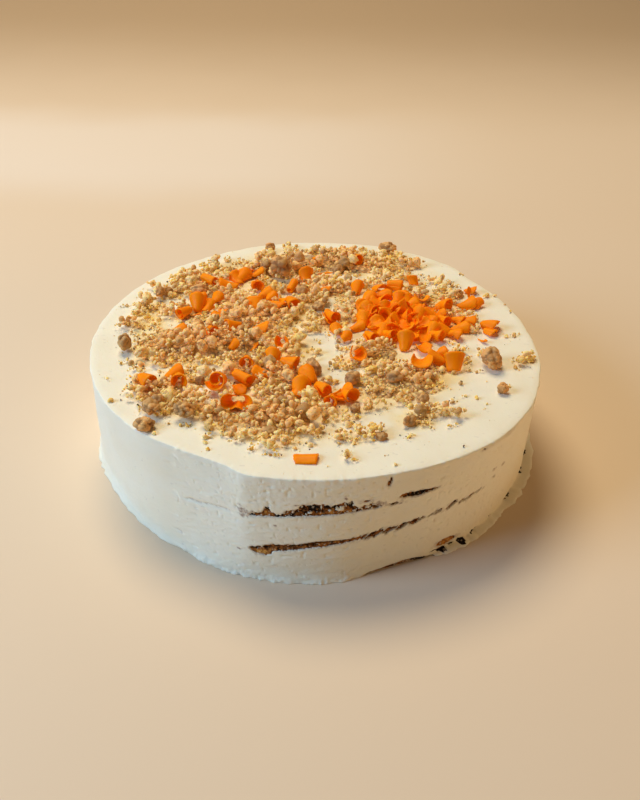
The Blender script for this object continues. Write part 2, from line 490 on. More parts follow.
def stained(degrees, height, inside):
    """How much the sponge shows through thin cream, from 0 to 1."""
    place = wall_place(degrees, height)
    near = smooth(-1.5, 0.0, inside + 0.7 * noise(place, 1.8, 10)) * 0.55
    spots = smooth(0.0, 0.6, most_within(degrees, height, STAINS) + 0.5 * noise(place, 1.3, 11))
    return np.maximum(near, spots)


def crease_depth(degrees, height):
    total = np.zeros_like(height)
    for depth, half_width, marks in CREASES:
        table = np.array(marks)
        if abs(table[0, 1] - table[-1, 1]) > 2.0 * abs(table[0, 0] - table[-1, 0]):
            level = np.interp(height, table[::-1, 1], table[::-1, 0])
            away = (degrees - level) * 2.44
            inside = smooth(table[-1, 1], table[-1, 1] + 2.0, height)
        else:
            away = height - np.interp(degrees, table[:, 0], table[:, 1])
            away = away + 0.5 * noise(wall_place(degrees, 0.0 * height), 4.0, 12)
            inside = smooth(table[0, 0], table[0, 0] + 3.0, degrees) * (1.0 - smooth(table[-1, 0] - 2.0, table[-1, 0], degrees))
        total += inside * depth * np.exp(-((away / half_width) ** 2))
    return total


def wall_relief(degrees, height):
    """Unevenness of the scraped wall, outwards, in millimetres."""
    arc = degrees * 2.44
    place = wall_place(degrees, height)
    leaning = np.stack([arc + 0.8 * height, height - 0.35 * arc, 0.0 * height], axis=-1)
    swell = 0.28 * noise(place, (34.0, 14.0, 1.0), 21) + 0.16 * noise(place, (9.0, 6.0, 1.0), 22)
    strokes = 0.10 * noise(place, (40.0, 1.6, 1.0), 23) + 0.09 * noise(leaning, (6.5, 1.5, 1.0), 24)
    scales = 0.08 * (1.0 - np.abs(noise(leaning, (4.6, 2.6, 1.0), 28)) * 2.0)
    pits = -0.4 * smooth(0.6, 0.85, noise(place, 1.7, 29))
    stop = smooth(-108.2, -107.0, degrees) * (1.0 - smooth(-98.0, -91.0, degrees)) * smooth(46.0, 58.0, height)
    combed = np.stack([arc + 1.5 * noise(place, 12.0, 30), height, 0.0 * height], axis=-1)
    drags = stop * (0.11 * noise(combed, (1.3, 9.0, 1.0), 25) + 0.1 * noise(combed, (3.2, 5.0, 1.0), 26))
    lip = 0.4 * smooth(-52.0, -46.0, degrees) * (1.0 - smooth(-32.0, -26.0, degrees)) * smooth(62.0, 70.0, height)
    lip = lip * (1.0 + noise(place, (26.0, 1.7, 1.0), 27))
    turned = (degrees + 180.0) % 360.0 - 180.0
    shown = smooth(FRONT_FROM - 4.0, FRONT_FROM, turned) * (1.0 - smooth(MIDDLING_TO - 4.0, MIDDLING_TO, turned))
    fine = (strokes + scales + pits) * (BACK_RELIEF + (1.0 - BACK_RELIEF) * shown)
    return swell + fine + drags + lip - crease_depth(degrees, height)


def foot_holes(degrees, height):
    """Depth of the hollows and of the crack between the wall and its foot, in millimetres."""
    place = wall_place(degrees, height)
    total = np.zeros_like(height)
    for hole in FOOT_HOLES:
        total = np.maximum(total, 2.2 * smooth(0.0, 0.5, within_spot(degrees, height, hole) + 0.4 * noise(place, 2.0, 31)))
    along = wall_place(degrees, 0.0 * height)
    line = 2.5 + 0.7 * noise(along, 9.0, 32) + 0.5 * noise(along, 3.0, 33)
    broken = smooth(-0.25, 0.15, noise(along, 6.0, 34))
    span = smooth(FOOT_CRACK_FROM, FOOT_CRACK_FROM + 4.0, degrees)
    span = span * (1.0 - smooth(FOOT_CRACK_TO - 8.0, FOOT_CRACK_TO, degrees))
    total = np.maximum(total, 1.9 * span * broken * np.exp(-(((height - line) / 0.5) ** 2)))
    table = np.array(WALL_GAP)
    clear = np.interp(degrees, table[:, 0], table[:, 1]) * (1.0 + 0.3 * noise(along, 5.0, 35))
    return np.maximum(total, 1.5 * smooth(0.25, -0.25, height - clear) * (clear > 0.05))


def foot_spread(degrees, height):
    """Share of the foot's reach at a height: a soft flare, or a low cracked ledge on the right."""
    along = wall_place(degrees, 0.0 * height)
    ledge = smooth(LEDGE_FROM, LEDGE_FROM + 7.0, degrees) * (1.0 - smooth(LEDGE_TO, LEDGE_TO + 30.0, degrees))
    shoulder = 1.4 * smooth(LEDGE_FROM, LEDGE_FROM + 14.0, degrees) + 0.5 * noise(along, 11.0, 41) + 0.4 * noise(along, 3.4, 42)
    shelf = 1.0 - smooth(shoulder - 1.0, shoulder + 0.7, height)
    flare = np.clip(1.0 - height / 8.0, 0.0, 1.0) ** 2.4
    table = np.array(FLARE_ENDS)
    clear = smooth(0.0, 1.0, np.interp(degrees, table[:, 0], table[:, 1]))
    crumbling = np.clip(clear + 0.25 * noise(along, 5.0, 44) * clear * (1.0 - clear) * 4.0, 0.0, 1.0)
    return (flare + (shelf - flare) * ledge) * (1.0 - crumbling)


def build_coat_rings(degrees):
    """Rings of the coat from the middle of its top, down the wall, under the foot and up the inside."""
    turn = np.radians(degrees)
    corner = RIM_ROUNDING
    top_mm = CREAM_TOP / MM
    rim = wall_radius(degrees, CREAM_TOP)
    arc = np.stack([degrees * 2.44, np.zeros_like(degrees), np.zeros_like(degrees)], axis=-1)
    ragged = (0.34 * noise(arc, 2.4, 51) + 0.4 * noise(arc, 9.0, 52)) * MM
    radii, heights, bare, tone, stain = [], [], [], [], []

    def add(radius, height, bareness=0.0, shade=0.5):
        for column, value in zip((radii, heights, bare, tone, stain), (radius, height, bareness, shade, 0.0)):
            column.append(np.broadcast_to(value, degrees.shape).copy())

    for share in np.concatenate([np.linspace(0.02, 0.92, 26), [0.95, 0.975]]):
        radius = share * (rim - corner)
        place = np.stack([radius * np.cos(turn) / MM, radius * np.sin(turn) / MM, 0.0 * radius], axis=-1)
        dents = 0.3 * noise(place, 24.0, 61) + 0.14 * noise(place, 8.0, 62)
        add(radius, CREAM_TOP + dents * MM)
    for tilt in (10.0, 35.0, 62.0, 85.0):
        lean = math.radians(tilt)
        share = math.sin(lean)
        edge = rim - corner + corner * share + ragged * share
        add(edge, CREAM_TOP - corner * (1.0 - math.cos(lean)) + ragged * (1.0 - share) * 0.6)
    levels = np.concatenate([
        np.linspace(top_mm - 2.2, 58.0, 22), np.arange(57.3, 43.6, -0.5), np.linspace(43.0, 39.5, 5),
        np.arange(39.0, 16.6, -0.5), np.linspace(16.0, 9.0, 9), np.arange(8.4, 0.2, -0.45),
    ])
    foot = round_cake(FOOT_RADII, degrees)
    for level in levels:
        height = np.full_like(degrees, level)
        wall = wall_radius(degrees, level * MM) + wall_relief(degrees, height) * MM
        place = wall_place(degrees, height)
        rough = 0.8 * noise(place, (4.0, 2.0, 1.0), 43) + 0.5 * noise(place, 1.6, 44)
        spread = foot_spread(degrees, height)
        reach = wall + spread * (np.maximum(foot - wall, 0.8 * MM) + rough * MM)
        inside = bare_depth(degrees, height)
        depth = 2.2 * smooth(-0.1, 0.6, inside) * MM
        depth = np.minimum(depth, np.maximum(reach - round_cake(LAYER_RADII, degrees) - FILM, 0.2 * MM))
        holes = foot_holes(degrees, height)
        depth = np.maximum(depth, holes * MM)
        add(reach - depth, level * MM, smooth(-0.25, 0.3, inside), 0.0)
        bare[-1] = np.maximum(bare[-1], 1.2 * smooth(0.3, 1.1, holes))
        tone[-1] = np.where((holes > 0.1) | (height < FOOT_SHADE), -0.3, crumb_tone(degrees, height))
        stain[-1] = stained(degrees, height, inside) + 0.6 * smooth(0.3, 1.0, crease_depth(degrees, height))
    edge = reach - depth
    layers = round_cake(LAYER_RADII, degrees)
    add(edge - 0.1 * MM, 0.0, bare[-1].copy(), tone[-1].copy())
    add(0.5 * (edge + layers), 0.0)
    add(layers, 0.0)
    inner_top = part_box("sponge_upper")[1].z
    add(layers, 0.5 * inner_top)
    add(layers, inner_top)
    for share in (0.8, 0.5, 0.2):
        add(share * layers, inner_top)
    radii, heights = np.array(radii), np.array(heights)
    values = {"bare": np.array(bare), "tone": np.array(tone), "stain": np.array(stain)}
    return np.stack([radii * np.cos(turn), radii * np.sin(turn), heights], axis=-1), values


# Crushed walnut cover


def cover(x, y):
    """How thickly the crushed walnuts lie, from 0 on bare cream to 1 where they hide it."""
    degrees = np.degrees(np.arctan2(y, x))
    reach = round_cake(BED_RADII, degrees) / MM
    place = np.stack([x, y, np.zeros_like(x)], axis=-1)
    amount = BASE_COVER + 0.16 * noise(place, 13.0, 71)
    for centre_x, centre_y, half_x, half_y, more in COVER_PATCHES:
        away = ((x - centre_x) / half_x) ** 2 + ((y - centre_y) / half_y) ** 2
        amount = amount + more * np.exp(-away)
    for middle in CURL_MIDDLES:
        if middle.y > FRONT_CLEAR:
            away = ((x - middle.x) ** 2 + (y - middle.y) ** 2) / 80.0
            amount = amount + GATHERED_BY_CURLS * np.exp(-away)
    inside = smooth(-1.0, 1.0, (reach - np.hypot(x, y)) / COVER_EDGE + 0.35 * noise(place, 6.0, 72))
    return np.maximum(np.clip(amount, 0.0, 1.15) * inside, STRAY_CRUMBS)


def bed_tree():
    return node_tree("walnut_bed")


def bed_height(x, y, tree):
    """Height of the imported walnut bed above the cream, in millimetres, at single points."""
    high = 0.2
    heights = np.zeros(x.shape)
    for index in np.ndindex(x.shape):
        hit = tree.ray_cast(Vector((x[index] * MM, y[index] * MM, high)), Vector((0.0, 0.0, -1.0)))[0]
        heights[index] = 0.0 if hit is None else (hit.z - CREAM_TOP) / MM
    return heights


CORE_STEP = 1.25
CORE_REACH = 132.0


def core_surface():
    """Grid of x, y and height of the relief that lies under the loose crumbs, in millimetres."""
    marks = np.arange(-CORE_REACH, CORE_REACH + 0.1, CORE_STEP)
    x, y = np.meshgrid(marks, marks, indexing="ij")
    every = 4
    rough = bed_height(x[::every, ::every], y[::every, ::every], bed_tree())
    place = np.arange(len(marks)) / every
    low = np.minimum(place.astype(int), rough.shape[0] - 2)
    share = np.clip(place - low, 0.0, 1.0)
    rows = rough[low] * (1.0 - share)[:, None] + rough[low + 1] * share[:, None]
    bed = rows[:, low] * (1.0 - share) + rows[:, low + 1] * share
    thick = cover(x, y)
    points = np.stack([x, y, np.zeros_like(x)], axis=-1)
    knobs = 1.0 - nodules(points, 3.1, 81)
    fine = 1.0 - nodules(points, 1.7, 82)
    piled = np.clip(bed - 2.4, 0.0, None) * smooth(0.5, 0.95, thick)
    relief = 0.9 * smooth(0.55, 1.0, thick) * (0.4 + knobs) + 0.35 * fine * smooth(0.5, 0.9, thick)
    return x, y, piled + relief - 0.75 * (1.0 - smooth(0.35, 0.8, thick))


class Landing:
    """Heights above the cream on a fine grid, on which crumbs and curls come to rest."""

    STEP = 0.5
    REACH = 140.0

    def __init__(self):
        cells = int(2 * self.REACH / self.STEP) + 1
        self.height = np.zeros((cells, cells))

    def index(self, value):
        return np.clip(np.rint((np.asarray(value) + self.REACH) / self.STEP).astype(int), 0, len(self.height) - 1)

    def raise_to(self, x, y, z):
        np.maximum.at(self.height, (self.index(x), self.index(y)), z)

    def add_surface(self, x, y, z):
        """Take in a surface given on a coarser grid."""
        marks = np.arange(len(self.height)) * self.STEP - self.REACH
        place = np.clip((marks - x[0, 0]) / (x[1, 0] - x[0, 0]), 0, len(x) - 1.001)
        low = place.astype(int)
        share = place - low
        rows = z[low] * (1.0 - share)[:, None] + z[low + 1] * share[:, None]
        full = rows[:, low] * (1.0 - share) + rows[:, low + 1] * share
        outside = (marks < x[0, 0]) | (marks > x[-1, 0])
        full[outside] = 0.0
        full[:, outside] = 0.0
        self.height = np.maximum(self.height, full)

    def window(self, x, y, radius):
        reach = max(1, int(round(radius / self.STEP)))
        column, row = int(self.index(x)), int(self.index(y))
        return column, row, (slice(max(column - reach, 0), column + reach + 1),
                             slice(max(row - reach, 0), row + reach + 1))

    def rest(self, x, y, radius, flatness, sink):
        """Height of a crumb's middle when it lies at a place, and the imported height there."""
        under = self.height[self.window(x, y, radius)[2]]
        column, row = int(self.index(x)), int(self.index(y))
        return 0.5 * (under.max() + under.mean()) + radius * flatness * (1.0 - sink), self.packed[column, row]

    def lay(self, x, y, radius, flatness, middle):
        """Add a crumb to the heights."""
        column, row, window = self.window(x, y, radius)
        under = self.height[window]
        away_x = (np.arange(window[0].start, window[0].start + under.shape[0]) - column) * self.STEP
        away_y = (np.arange(window[1].start, window[1].start + under.shape[1]) - row) * self.STEP
        away = (away_x[:, None] ** 2 + away_y[None, :] ** 2) / (radius * radius)
        dome = middle + radius * flatness * np.sqrt(np.clip(1.0 - away, 0.0, 1.0))
        self.height[window] = np.where(away < 1.0, np.maximum(under, dome), under)


# Curls


def roll_section(kind, around):
    """Point of the rolled sheet's section at a share of -1 to 1 along it, in millimetres."""
    turn, outer, inner = CURL_KINDS[kind][:3]
    if kind == "double":
        side = np.where(around < 0.0, -1.0, 1.0)
        angle = np.radians(DOUBLE_START + turn * np.abs(around))
        return outer * np.sin(angle), side * outer * (1.0 + np.cos(angle))
    angle = np.radians(0.5 * turn * around)
    coil = outer + (inner - outer) * 0.5 * (around + 1.0)
    return coil * np.cos(angle), coil * np.sin(angle)


def curl_shape(kind, size, thickness, seed):
    """Points and faces of a thin shaving of chocolate rolled about +Z, its wide end up, in metres."""
    turn, _, _, length, cone, draw_in = CURL_KINDS[kind]
    cells = max(8, int((2.0 if kind == "double" else 1.0) * turn / CURL_DEGREES_PER_CELL))
    around, along = np.meshgrid(np.linspace(-1.0, 1.0, cells + 1), np.linspace(0.0, 1.0, CURL_ALONG + 1), indexing="ij")
    x, y = roll_section(kind, around)
    chance = np.random.default_rng(1000 + seed)
    twist, bend, slant = chance.uniform(-1.0, 1.0, 3)
    place = np.stack([around * 3.0, along * 2.0, np.full_like(along, seed * 7.3)], axis=-1)
    flare = 1.0 + 0.10 * along**3 + 0.06 * noise(place, 1.0, 91)
    narrow = (1.0 - cone * (1.0 - along)) * flare
    ragged = 0.05 * noise(place, 0.45, 92) * length
    z = length * (along - 0.5) * (1.0 - draw_in * around**2 + 0.10 * slant * around)
    z = z + ragged * (2.0 * np.abs(along - 0.5)) ** 2
    turned = math.radians(0.0 if kind in STRAIGHT_KINDS else 32.0) * twist * (along - 0.5)
    x, y = x * np.cos(turned) - y * np.sin(turned), x * np.sin(turned) + y * np.cos(turned)
    bowed = (0.0 if kind in STRAIGHT_KINDS else 1.3) * bend * (2.0 * along - 1.0) ** 2
    middle = np.stack([x * narrow + bowed, y * narrow, z], axis=-1) * size
    across = np.gradient(middle, axis=0)
    upward = np.gradient(middle, axis=1)
    normal = np.cross(across, upward)
    normal /= np.maximum(np.linalg.norm(normal, axis=-1, keepdims=True), 1e-9)
    rim = np.minimum(1.0 - np.abs(around), 2.0 * np.minimum(along, 1.0 - along) * 1.2)
    half = 0.5 * thickness / MM * (0.45 + 0.55 * smooth(0.0, 0.22, rim))[..., None]
    outer = middle + normal * half
    inner = middle - normal * half
    count = outer.shape[0] * outer.shape[1]
    here = np.arange(count).reshape(outer.shape[:2])
    faces = [np.stack([here[:-1, :-1], here[1:, :-1], here[1:, 1:], here[:-1, 1:]], axis=-1).reshape(-1, 4)]
    faces.append(faces[0][:, ::-1] + count)
    border = np.concatenate([here[:, 0], here[-1, 1:], here[-2::-1, -1], here[0, -2:0:-1]])
    following = np.roll(border, -1)
    faces.append(np.stack([following, border, border + count, following + count], axis=-1))
    points = np.concatenate([outer.reshape(-1, 3), inner.reshape(-1, 3)]) * MM
    return points, np.concatenate(faces)


def heading_matrix(heading, lift, roll):
    """Turn +Z to a heading and a lift, with +X facing up, then roll about the new +Z."""
    yaw = math.radians(heading)
    rise = math.radians(lift)
    along = Vector((math.cos(yaw) * math.cos(rise), math.sin(yaw) * math.cos(rise), math.sin(rise)))
    up = Vector((-math.cos(yaw) * math.sin(rise), -math.sin(yaw) * math.sin(rise), math.cos(rise)))
    facing = Matrix((up, along.cross(up), along)).transposed()
    return np.array(facing @ Matrix.Rotation(math.radians(roll), 3, "Z"))


def turned_curl(kind, heading, lift, roll, size, seed):
    points, faces = curl_shape(kind, size, value_of("cake_sizes", "curl_thickness"), seed)
    return points @ heading_matrix(heading, lift, roll).T, faces


def drop_curl(points, landing, x, y, sink, ceiling, nesting=NESTING):
    """Lower a curl onto the heights below it, let it nest in a little, and add it to them."""
    placed = points + np.array([x * MM, y * MM, 0.0])
    flat = placed / MM
    below = landing.height[landing.index(flat[:, 0]), landing.index(flat[:, 1])]
    rise = np.percentile(below * MM + CREAM_TOP - placed[:, 2], nesting) - sink
    rise = min(rise, CREAM_TOP + ceiling * MM - placed[:, 2].max())
    placed[:, 2] += max(rise, CREAM_TOP - placed[:, 2].min())
    landing.raise_to(flat[:, 0], flat[:, 1], (placed[:, 2] - CREAM_TOP) / MM)
    return placed


# Materials


class Finish:
    """A procedural finish: a Principled shader and short calls that add nodes to it."""

    def __init__(self, name, roughness, specular=0.5):
        self.material = bpy.data.materials.new(name)
        self.material.use_nodes = True
        self.tree = self.material.node_tree
        self.shader = self.tree.nodes["Principled BSDF"]
        self.shader.inputs["Roughness"].default_value = roughness
        self.shader.inputs["Specular IOR Level"].default_value = specular
        self.place = self.tree.nodes.new("ShaderNodeTexCoord").outputs["Object"]
        self.bumps = None

    def link(self, source, target):
        self.tree.links.new(source, target)

    def node(self, kind, **settings):
        made = self.tree.nodes.new(kind)
        for key, value in settings.items():
            setattr(made, key, value)
        return made

    def stretched(self, scale):
        made = self.node("ShaderNodeMapping")
        made.inputs["Scale"].default_value = scale
        self.link(self.place, made.inputs["Vector"])
        return made.outputs["Vector"]

    def noise(self, scale, detail=3.0, rough=0.6, vector=None, distortion=0.0):
        made = self.node("ShaderNodeTexNoise")
        made.inputs["Scale"].default_value = scale
        made.inputs["Detail"].default_value = detail
        made.inputs["Roughness"].default_value = rough
        made.inputs["Distortion"].default_value = distortion
        self.link(vector or self.place, made.inputs["Vector"])
        return made.outputs["Fac"]

    def cells(self, scale, feature="F1", vector=None):
        made = self.node("ShaderNodeTexVoronoi", feature=feature)
        made.inputs["Scale"].default_value = scale
        self.link(vector or self.place, made.inputs["Vector"])
        return made.outputs["Distance"]

    def value(self, name):
        return self.node("ShaderNodeAttribute", attribute_name=name).outputs["Fac"]

    def ramp(self, source, low, high, from_value=0.0, to_value=1.0):
        made = self.node("ShaderNodeMapRange", interpolation_type="SMOOTHSTEP")
        made.inputs["From Min"].default_value = low
        made.inputs["From Max"].default_value = high
        made.inputs["To Min"].default_value = from_value
        made.inputs["To Max"].default_value = to_value
        self.link(source, made.inputs["Value"])
        return made.outputs["Result"]

    def math(self, operation, first, second):
        made = self.node("ShaderNodeMath", operation=operation)
        for socket, source in zip(made.inputs, (first, second)):
            if isinstance(source, (int, float)):
                socket.default_value = source
            else:
                self.link(source, socket)
        return made.outputs["Value"]

    def mix(self, share, first, second, blend="MIX"):
        made = self.node("ShaderNodeMix", data_type="RGBA", blend_type=blend)
        sockets = [made.inputs[index] for index in (0, 6, 7)]
        for socket, source in zip(sockets, (share, first, second)):
            if isinstance(source, (int, float)):
                socket.default_value = source
            elif isinstance(source, (tuple, list)):
                socket.default_value = (*source[:3], 1.0)
            else:
                self.link(source, socket)
        return made.outputs[2]

    def colour(self, source):
        self.link(source, self.shader.inputs["Base Color"])

    def roughness(self, source):
        self.link(source, self.shader.inputs["Roughness"])

    def bump(self, height, distance, strength=1.0):
        made = self.node("ShaderNodeBump")
        made.inputs["Strength"].default_value = strength
        made.inputs["Distance"].default_value = distance
        self.link(height, made.inputs["Height"])
        if self.bumps is not None:
            self.link(self.bumps, made.inputs["Normal"])
        self.bumps = made.outputs["Normal"]
        self.link(self.bumps, self.shader.inputs["Normal"])

    def sponge_colour(self):
        """Crumb from black hollows through moist brown to golden, with flecks of cream and carrot."""
        sponge = value_of("cake_colours", "sponge")
        crumb = self.noise(1300.0, 2.0, 0.7)
        tone = self.math("ADD", self.value("tone"), self.math("MULTIPLY", self.math("SUBTRACT", crumb, 0.5), 0.9))
        dark = tuple(0.3 * part for part in sponge)
        colour = self.mix(self.ramp(tone, 0.02, 0.3), (0.010, 0.004, 0.002), dark)
        colour = self.mix(self.ramp(tone, 0.25, 0.6), colour, sponge)
        colour = self.mix(self.ramp(tone, 0.62, 0.95), colour, (0.66, 0.33, 0.075))
        carrot = self.ramp(self.noise(360.0, 1.0), 0.69, 0.74)
        colour = self.mix(self.math("MULTIPLY", carrot, 0.5), colour, (0.60, 0.18, 0.02))
        smears = self.ramp(self.noise(560.0, 1.0), 0.61, 0.67)
        return self.mix(self.math("MULTIPLY", smears, 0.7), colour, (0.62, 0.50, 0.37))

    def glow_through(self, weight, radius, scale):
        self.shader.inputs["Subsurface Weight"].default_value = weight
        self.shader.inputs["Subsurface Radius"].default_value = radius
        self.shader.inputs["Subsurface Scale"].default_value = scale


def kept_finish(name, make):
    return bpy.data.materials.get(name) or make(name)


def cream_finish(name):
    """Whipped cream: matt and soft, with fine scraper lines, pinholes and a dusting of nut meal."""
    made = Finish(name, 0.62, 0.25)
    cream = value_of("cake_colours", "cream")
    shade = value_of("cake_colours", "cream_shade")
    wide = made.noise(28.0, 3.0)
    colour = made.mix(made.ramp(wide, 0.35, 0.7), cream, shade)
    dashes = made.noise(1.0, 2.0, 0.5, made.stretched((170.0, 420.0, 420.0)))
    marks = made.math("MULTIPLY", made.ramp(dashes, 0.69, 0.74), 0.3)
    colour = made.mix(marks, colour, (0.62, 0.56, 0.46))
    speckle = made.noise(620.0, 2.0, 0.7)
    dust = made.value("dusting")
    level = made.math("SUBTRACT", 0.82, made.math("MULTIPLY", dust, 0.24))
    dusted = made.ramp(made.math("SUBTRACT", speckle, level), 0.0, 0.05)
    colour = made.mix(dusted, colour, value_of("cake_colours", "nut_meal"))
    oily = made.math("MULTIPLY", dust, made.ramp(made.noise(130.0, 2.0), 0.3, 0.6, 0.5, 1.0))
    colour = made.mix(oily, colour, (1.0, 0.83, 0.42), "MULTIPLY")
    thin = made.math("MULTIPLY", made.value("stain"), made.ramp(made.noise(700.0, 2.0), 0.35, 0.65, 0.35, 1.0))
    colour = made.mix(thin, colour, (0.34, 0.23, 0.17))
    edge = made.math("ADD", made.value("bare"), made.math("MULTIPLY", made.math("SUBTRACT", speckle, 0.5), 0.7))
    made.colour(made.mix(made.ramp(edge, 0.42, 0.6), colour, made.sponge_colour()))
    made.roughness(made.ramp(made.noise(90.0), 0.3, 0.7, 0.5, 0.72))
    made.bump(made.noise(1.0, 3.0, 0.6, made.stretched((110.0, 110.0, 500.0))), 0.16 * MM, 0.5)
    made.bump(made.noise(430.0, 3.0, 0.6), 0.22 * MM, 0.7)
    made.bump(made.ramp(made.cells(210.0), 0.05, 0.16), 0.25 * MM, 0.5)
    made.bump(dusted, 0.3 * MM, 0.7)
    made.glow_through(0.12, (1.0, 0.72, 0.42), 0.003)
    return made.material


def sponge_finish(name):
    """Moist carrot sponge with an open crumb."""
    made = Finish(name, 0.8, 0.2)
    made.colour(made.sponge_colour())
    made.bump(made.noise(1100.0, 3.0, 0.7), 0.5 * MM, 0.8)
    made.bump(made.cells(420.0), 0.4 * MM, 0.5)
    made.glow_through(0.1, (1.0, 0.4, 0.1), 0.002)
    return made.material


def nut_finish(name, flesh, skin, fleck_scale, fleck_level, glow, packed=False):
    """Broken walnut: pale oily flesh, golden where it is thin, with torn brown skin."""
    made = Finish(name, 0.6, 0.25)
    gold = value_of("cake_colours", "nut_meal")
    mottle = made.noise(420.0, 3.0, 0.65)
    tan = (0.97 * flesh[0], 0.74 * flesh[1], 0.60 * flesh[2])
    golden = made.math("ADD", made.value("gold"), made.math("MULTIPLY", made.math("SUBTRACT", mottle, 0.5), 0.7))
    pale = made.mix(made.ramp(golden, 0.0, 0.45), tan, flesh)
    colour = made.mix(made.ramp(golden, 0.5, 1.0), pale, gold)
    colour = made.mix(made.math("MULTIPLY", made.value("hollow"), 0.55), colour, (0.40, 0.17, 0.035))
    flecks = made.ramp(made.noise(fleck_scale, 2.0, 0.6), fleck_level, fleck_level + 0.06)
    worn = made.math("MAXIMUM", made.math("MULTIPLY", flecks, 0.75), made.value("skin"))
    colour = made.mix(worn, colour, skin)
    veins = made.ramp(made.noise(560.0, 2.0, 0.5), 0.67, 0.73)
    colour = made.mix(made.math("MULTIPLY", veins, 0.6), colour, (0.16, 0.06, 0.018))
    if packed:
        grains = made.cells(380.0)
        gaps = made.ramp(made.math("ADD", grains, made.math("MULTIPLY", mottle, 0.4)), 0.55, 0.85)
        colour = made.mix(made.math("MULTIPLY", gaps, 0.6), colour, (0.22, 0.09, 0.03))
        made.bump(made.math("SUBTRACT", 1.0, grains), 1.4 * MM, 1.0)
    made.colour(colour)
    made.roughness(made.ramp(made.noise(300.0), 0.3, 0.7, 0.45, 0.78))
    made.bump(mottle, 0.4 * MM, 0.8)
    made.bump(made.noise(1200.0, 2.0), 0.1 * MM, 0.6)
    made.glow_through(glow, (1.0, 0.55, 0.15), 0.002)
    made.shader.inputs["Emission Color"].default_value = (*gold, 1.0)
    made.shader.inputs["Emission Strength"].default_value = 0.24 * glow * glow
    return made.material


def crumb_finish(name):
    return nut_finish(name, value_of("cake_colours", "nut_flesh"), value_of("cake_colours", "nut_skin"), 300.0, 0.59, 0.45)


def packed_finish(name):
    """Packed crushed walnut under the loose crumbs: small grains with dark gaps."""
    return nut_finish(name, value_of("cake_colours", "nut_flesh"), value_of("cake_colours", "nut_skin"), 300.0, 0.59, 0.3, True)


def chunk_finish(name):
    flesh = tuple(part * share for part, share in zip(value_of("cake_colours", "nut_flesh"), (0.86, 0.76, 0.66)))
    return nut_finish(name, flesh, value_of("cake_colours", "nut_skin"), 170.0, 0.5, 0.06)


def meal_finish(name):
    """Fine nut meal, golden and a little see-through."""
    made = Finish(name, 0.55, 0.25)
    gold = value_of("cake_colours", "nut_meal")
    colour = made.mix(made.value("gold"), value_of("cake_colours", "nut_flesh"), gold)
    colour = made.mix(made.value("skin"), colour, value_of("cake_colours", "nut_skin"))
    grain = made.ramp(made.noise(800.0, 2.0), 0.35, 0.7)
    made.colour(made.mix(made.math("MULTIPLY", grain, 0.35), colour, (0.42, 0.2, 0.05)))
    made.bump(made.noise(1800.0, 2.0), 0.1 * MM, 0.6)
    made.glow_through(0.4, (1.0, 0.6, 0.25), 0.003)
    return made.material


def fleck_finish(name):
    """Dark flakes of walnut skin."""
    made = Finish(name, 0.7, 0.3)
    tone = made.ramp(made.noise(600.0, 2.0), 0.35, 0.65)
    made.colour(made.mix(tone, (0.07, 0.028, 0.012), (0.2, 0.095, 0.045)))
    made.bump(made.noise(1500.0, 2.0), 0.12 * MM, 0.7)
    return made.material


def chocolate_finish(name):
    """Coloured white chocolate: satin, with faint streaks from the shaving blade."""
    made = Finish(name, 0.5, 0.12)
    orange = value_of("cake_colours", "curl_orange")
    deep = tuple(part * share for part, share in zip(orange, (0.94, 0.74, 0.6)))
    blotch = made.ramp(made.noise(110.0, 3.0), 0.35, 0.7)
    made.colour(made.mix(made.math("MULTIPLY", blotch, 0.5), orange, deep))
    made.roughness(made.ramp(made.noise(260.0, 2.0), 0.3, 0.7, 0.4, 0.6))
    made.bump(made.noise(240.0, 3.0, 0.6), 0.12 * MM, 0.5)
    made.bump(made.noise(1300.0, 2.0), 0.03 * MM, 0.5)
    made.glow_through(0.3, (1.0, 0.36, 0.03), 0.002)
    made.shader.inputs["Emission Color"].default_value = (*orange, 1.0)
    made.shader.inputs["Emission Strength"].default_value = CURL_GLOW
    return made.material


def paper_finish(name):
    """Plain pale paper: darker towards the back, with a light fold where it begins to rise."""
    made = Finish(name, 0.9, 0.2)
    pale = value_of("cake_colours", "floor")
    apart = made.node("ShaderNodeSeparateXYZ")
    made.link(made.place, apart.inputs["Vector"])
    soft = made.noise(6.0, 2.0)
    depth = made.math("ADD", apart.outputs["Y"], made.math("MULTIPLY", made.math("SUBTRACT", soft, 0.5), 0.06))
    fold = made.math("MULTIPLY", made.ramp(depth, 0.34, 0.46), made.ramp(depth, 0.56, 0.68, 1.0, 0.0))
    fold = made.math("MULTIPLY", fold, made.ramp(apart.outputs["X"], -0.1, 0.25, 1.0, 0.1))
    colour = made.mix(made.ramp(depth, 0.5, 1.1), pale, tuple(part * share for part, share in zip(pale, (0.66, 0.6, 0.52))))
    colour = made.mix(made.math("MULTIPLY", fold, 0.35), colour, (0.92, 0.86, 0.80))
    made.colour(colour)
    made.bump(made.noise(900.0, 2.0), 0.05 * MM, 0.3)
    return made.material


# Geometry nodes


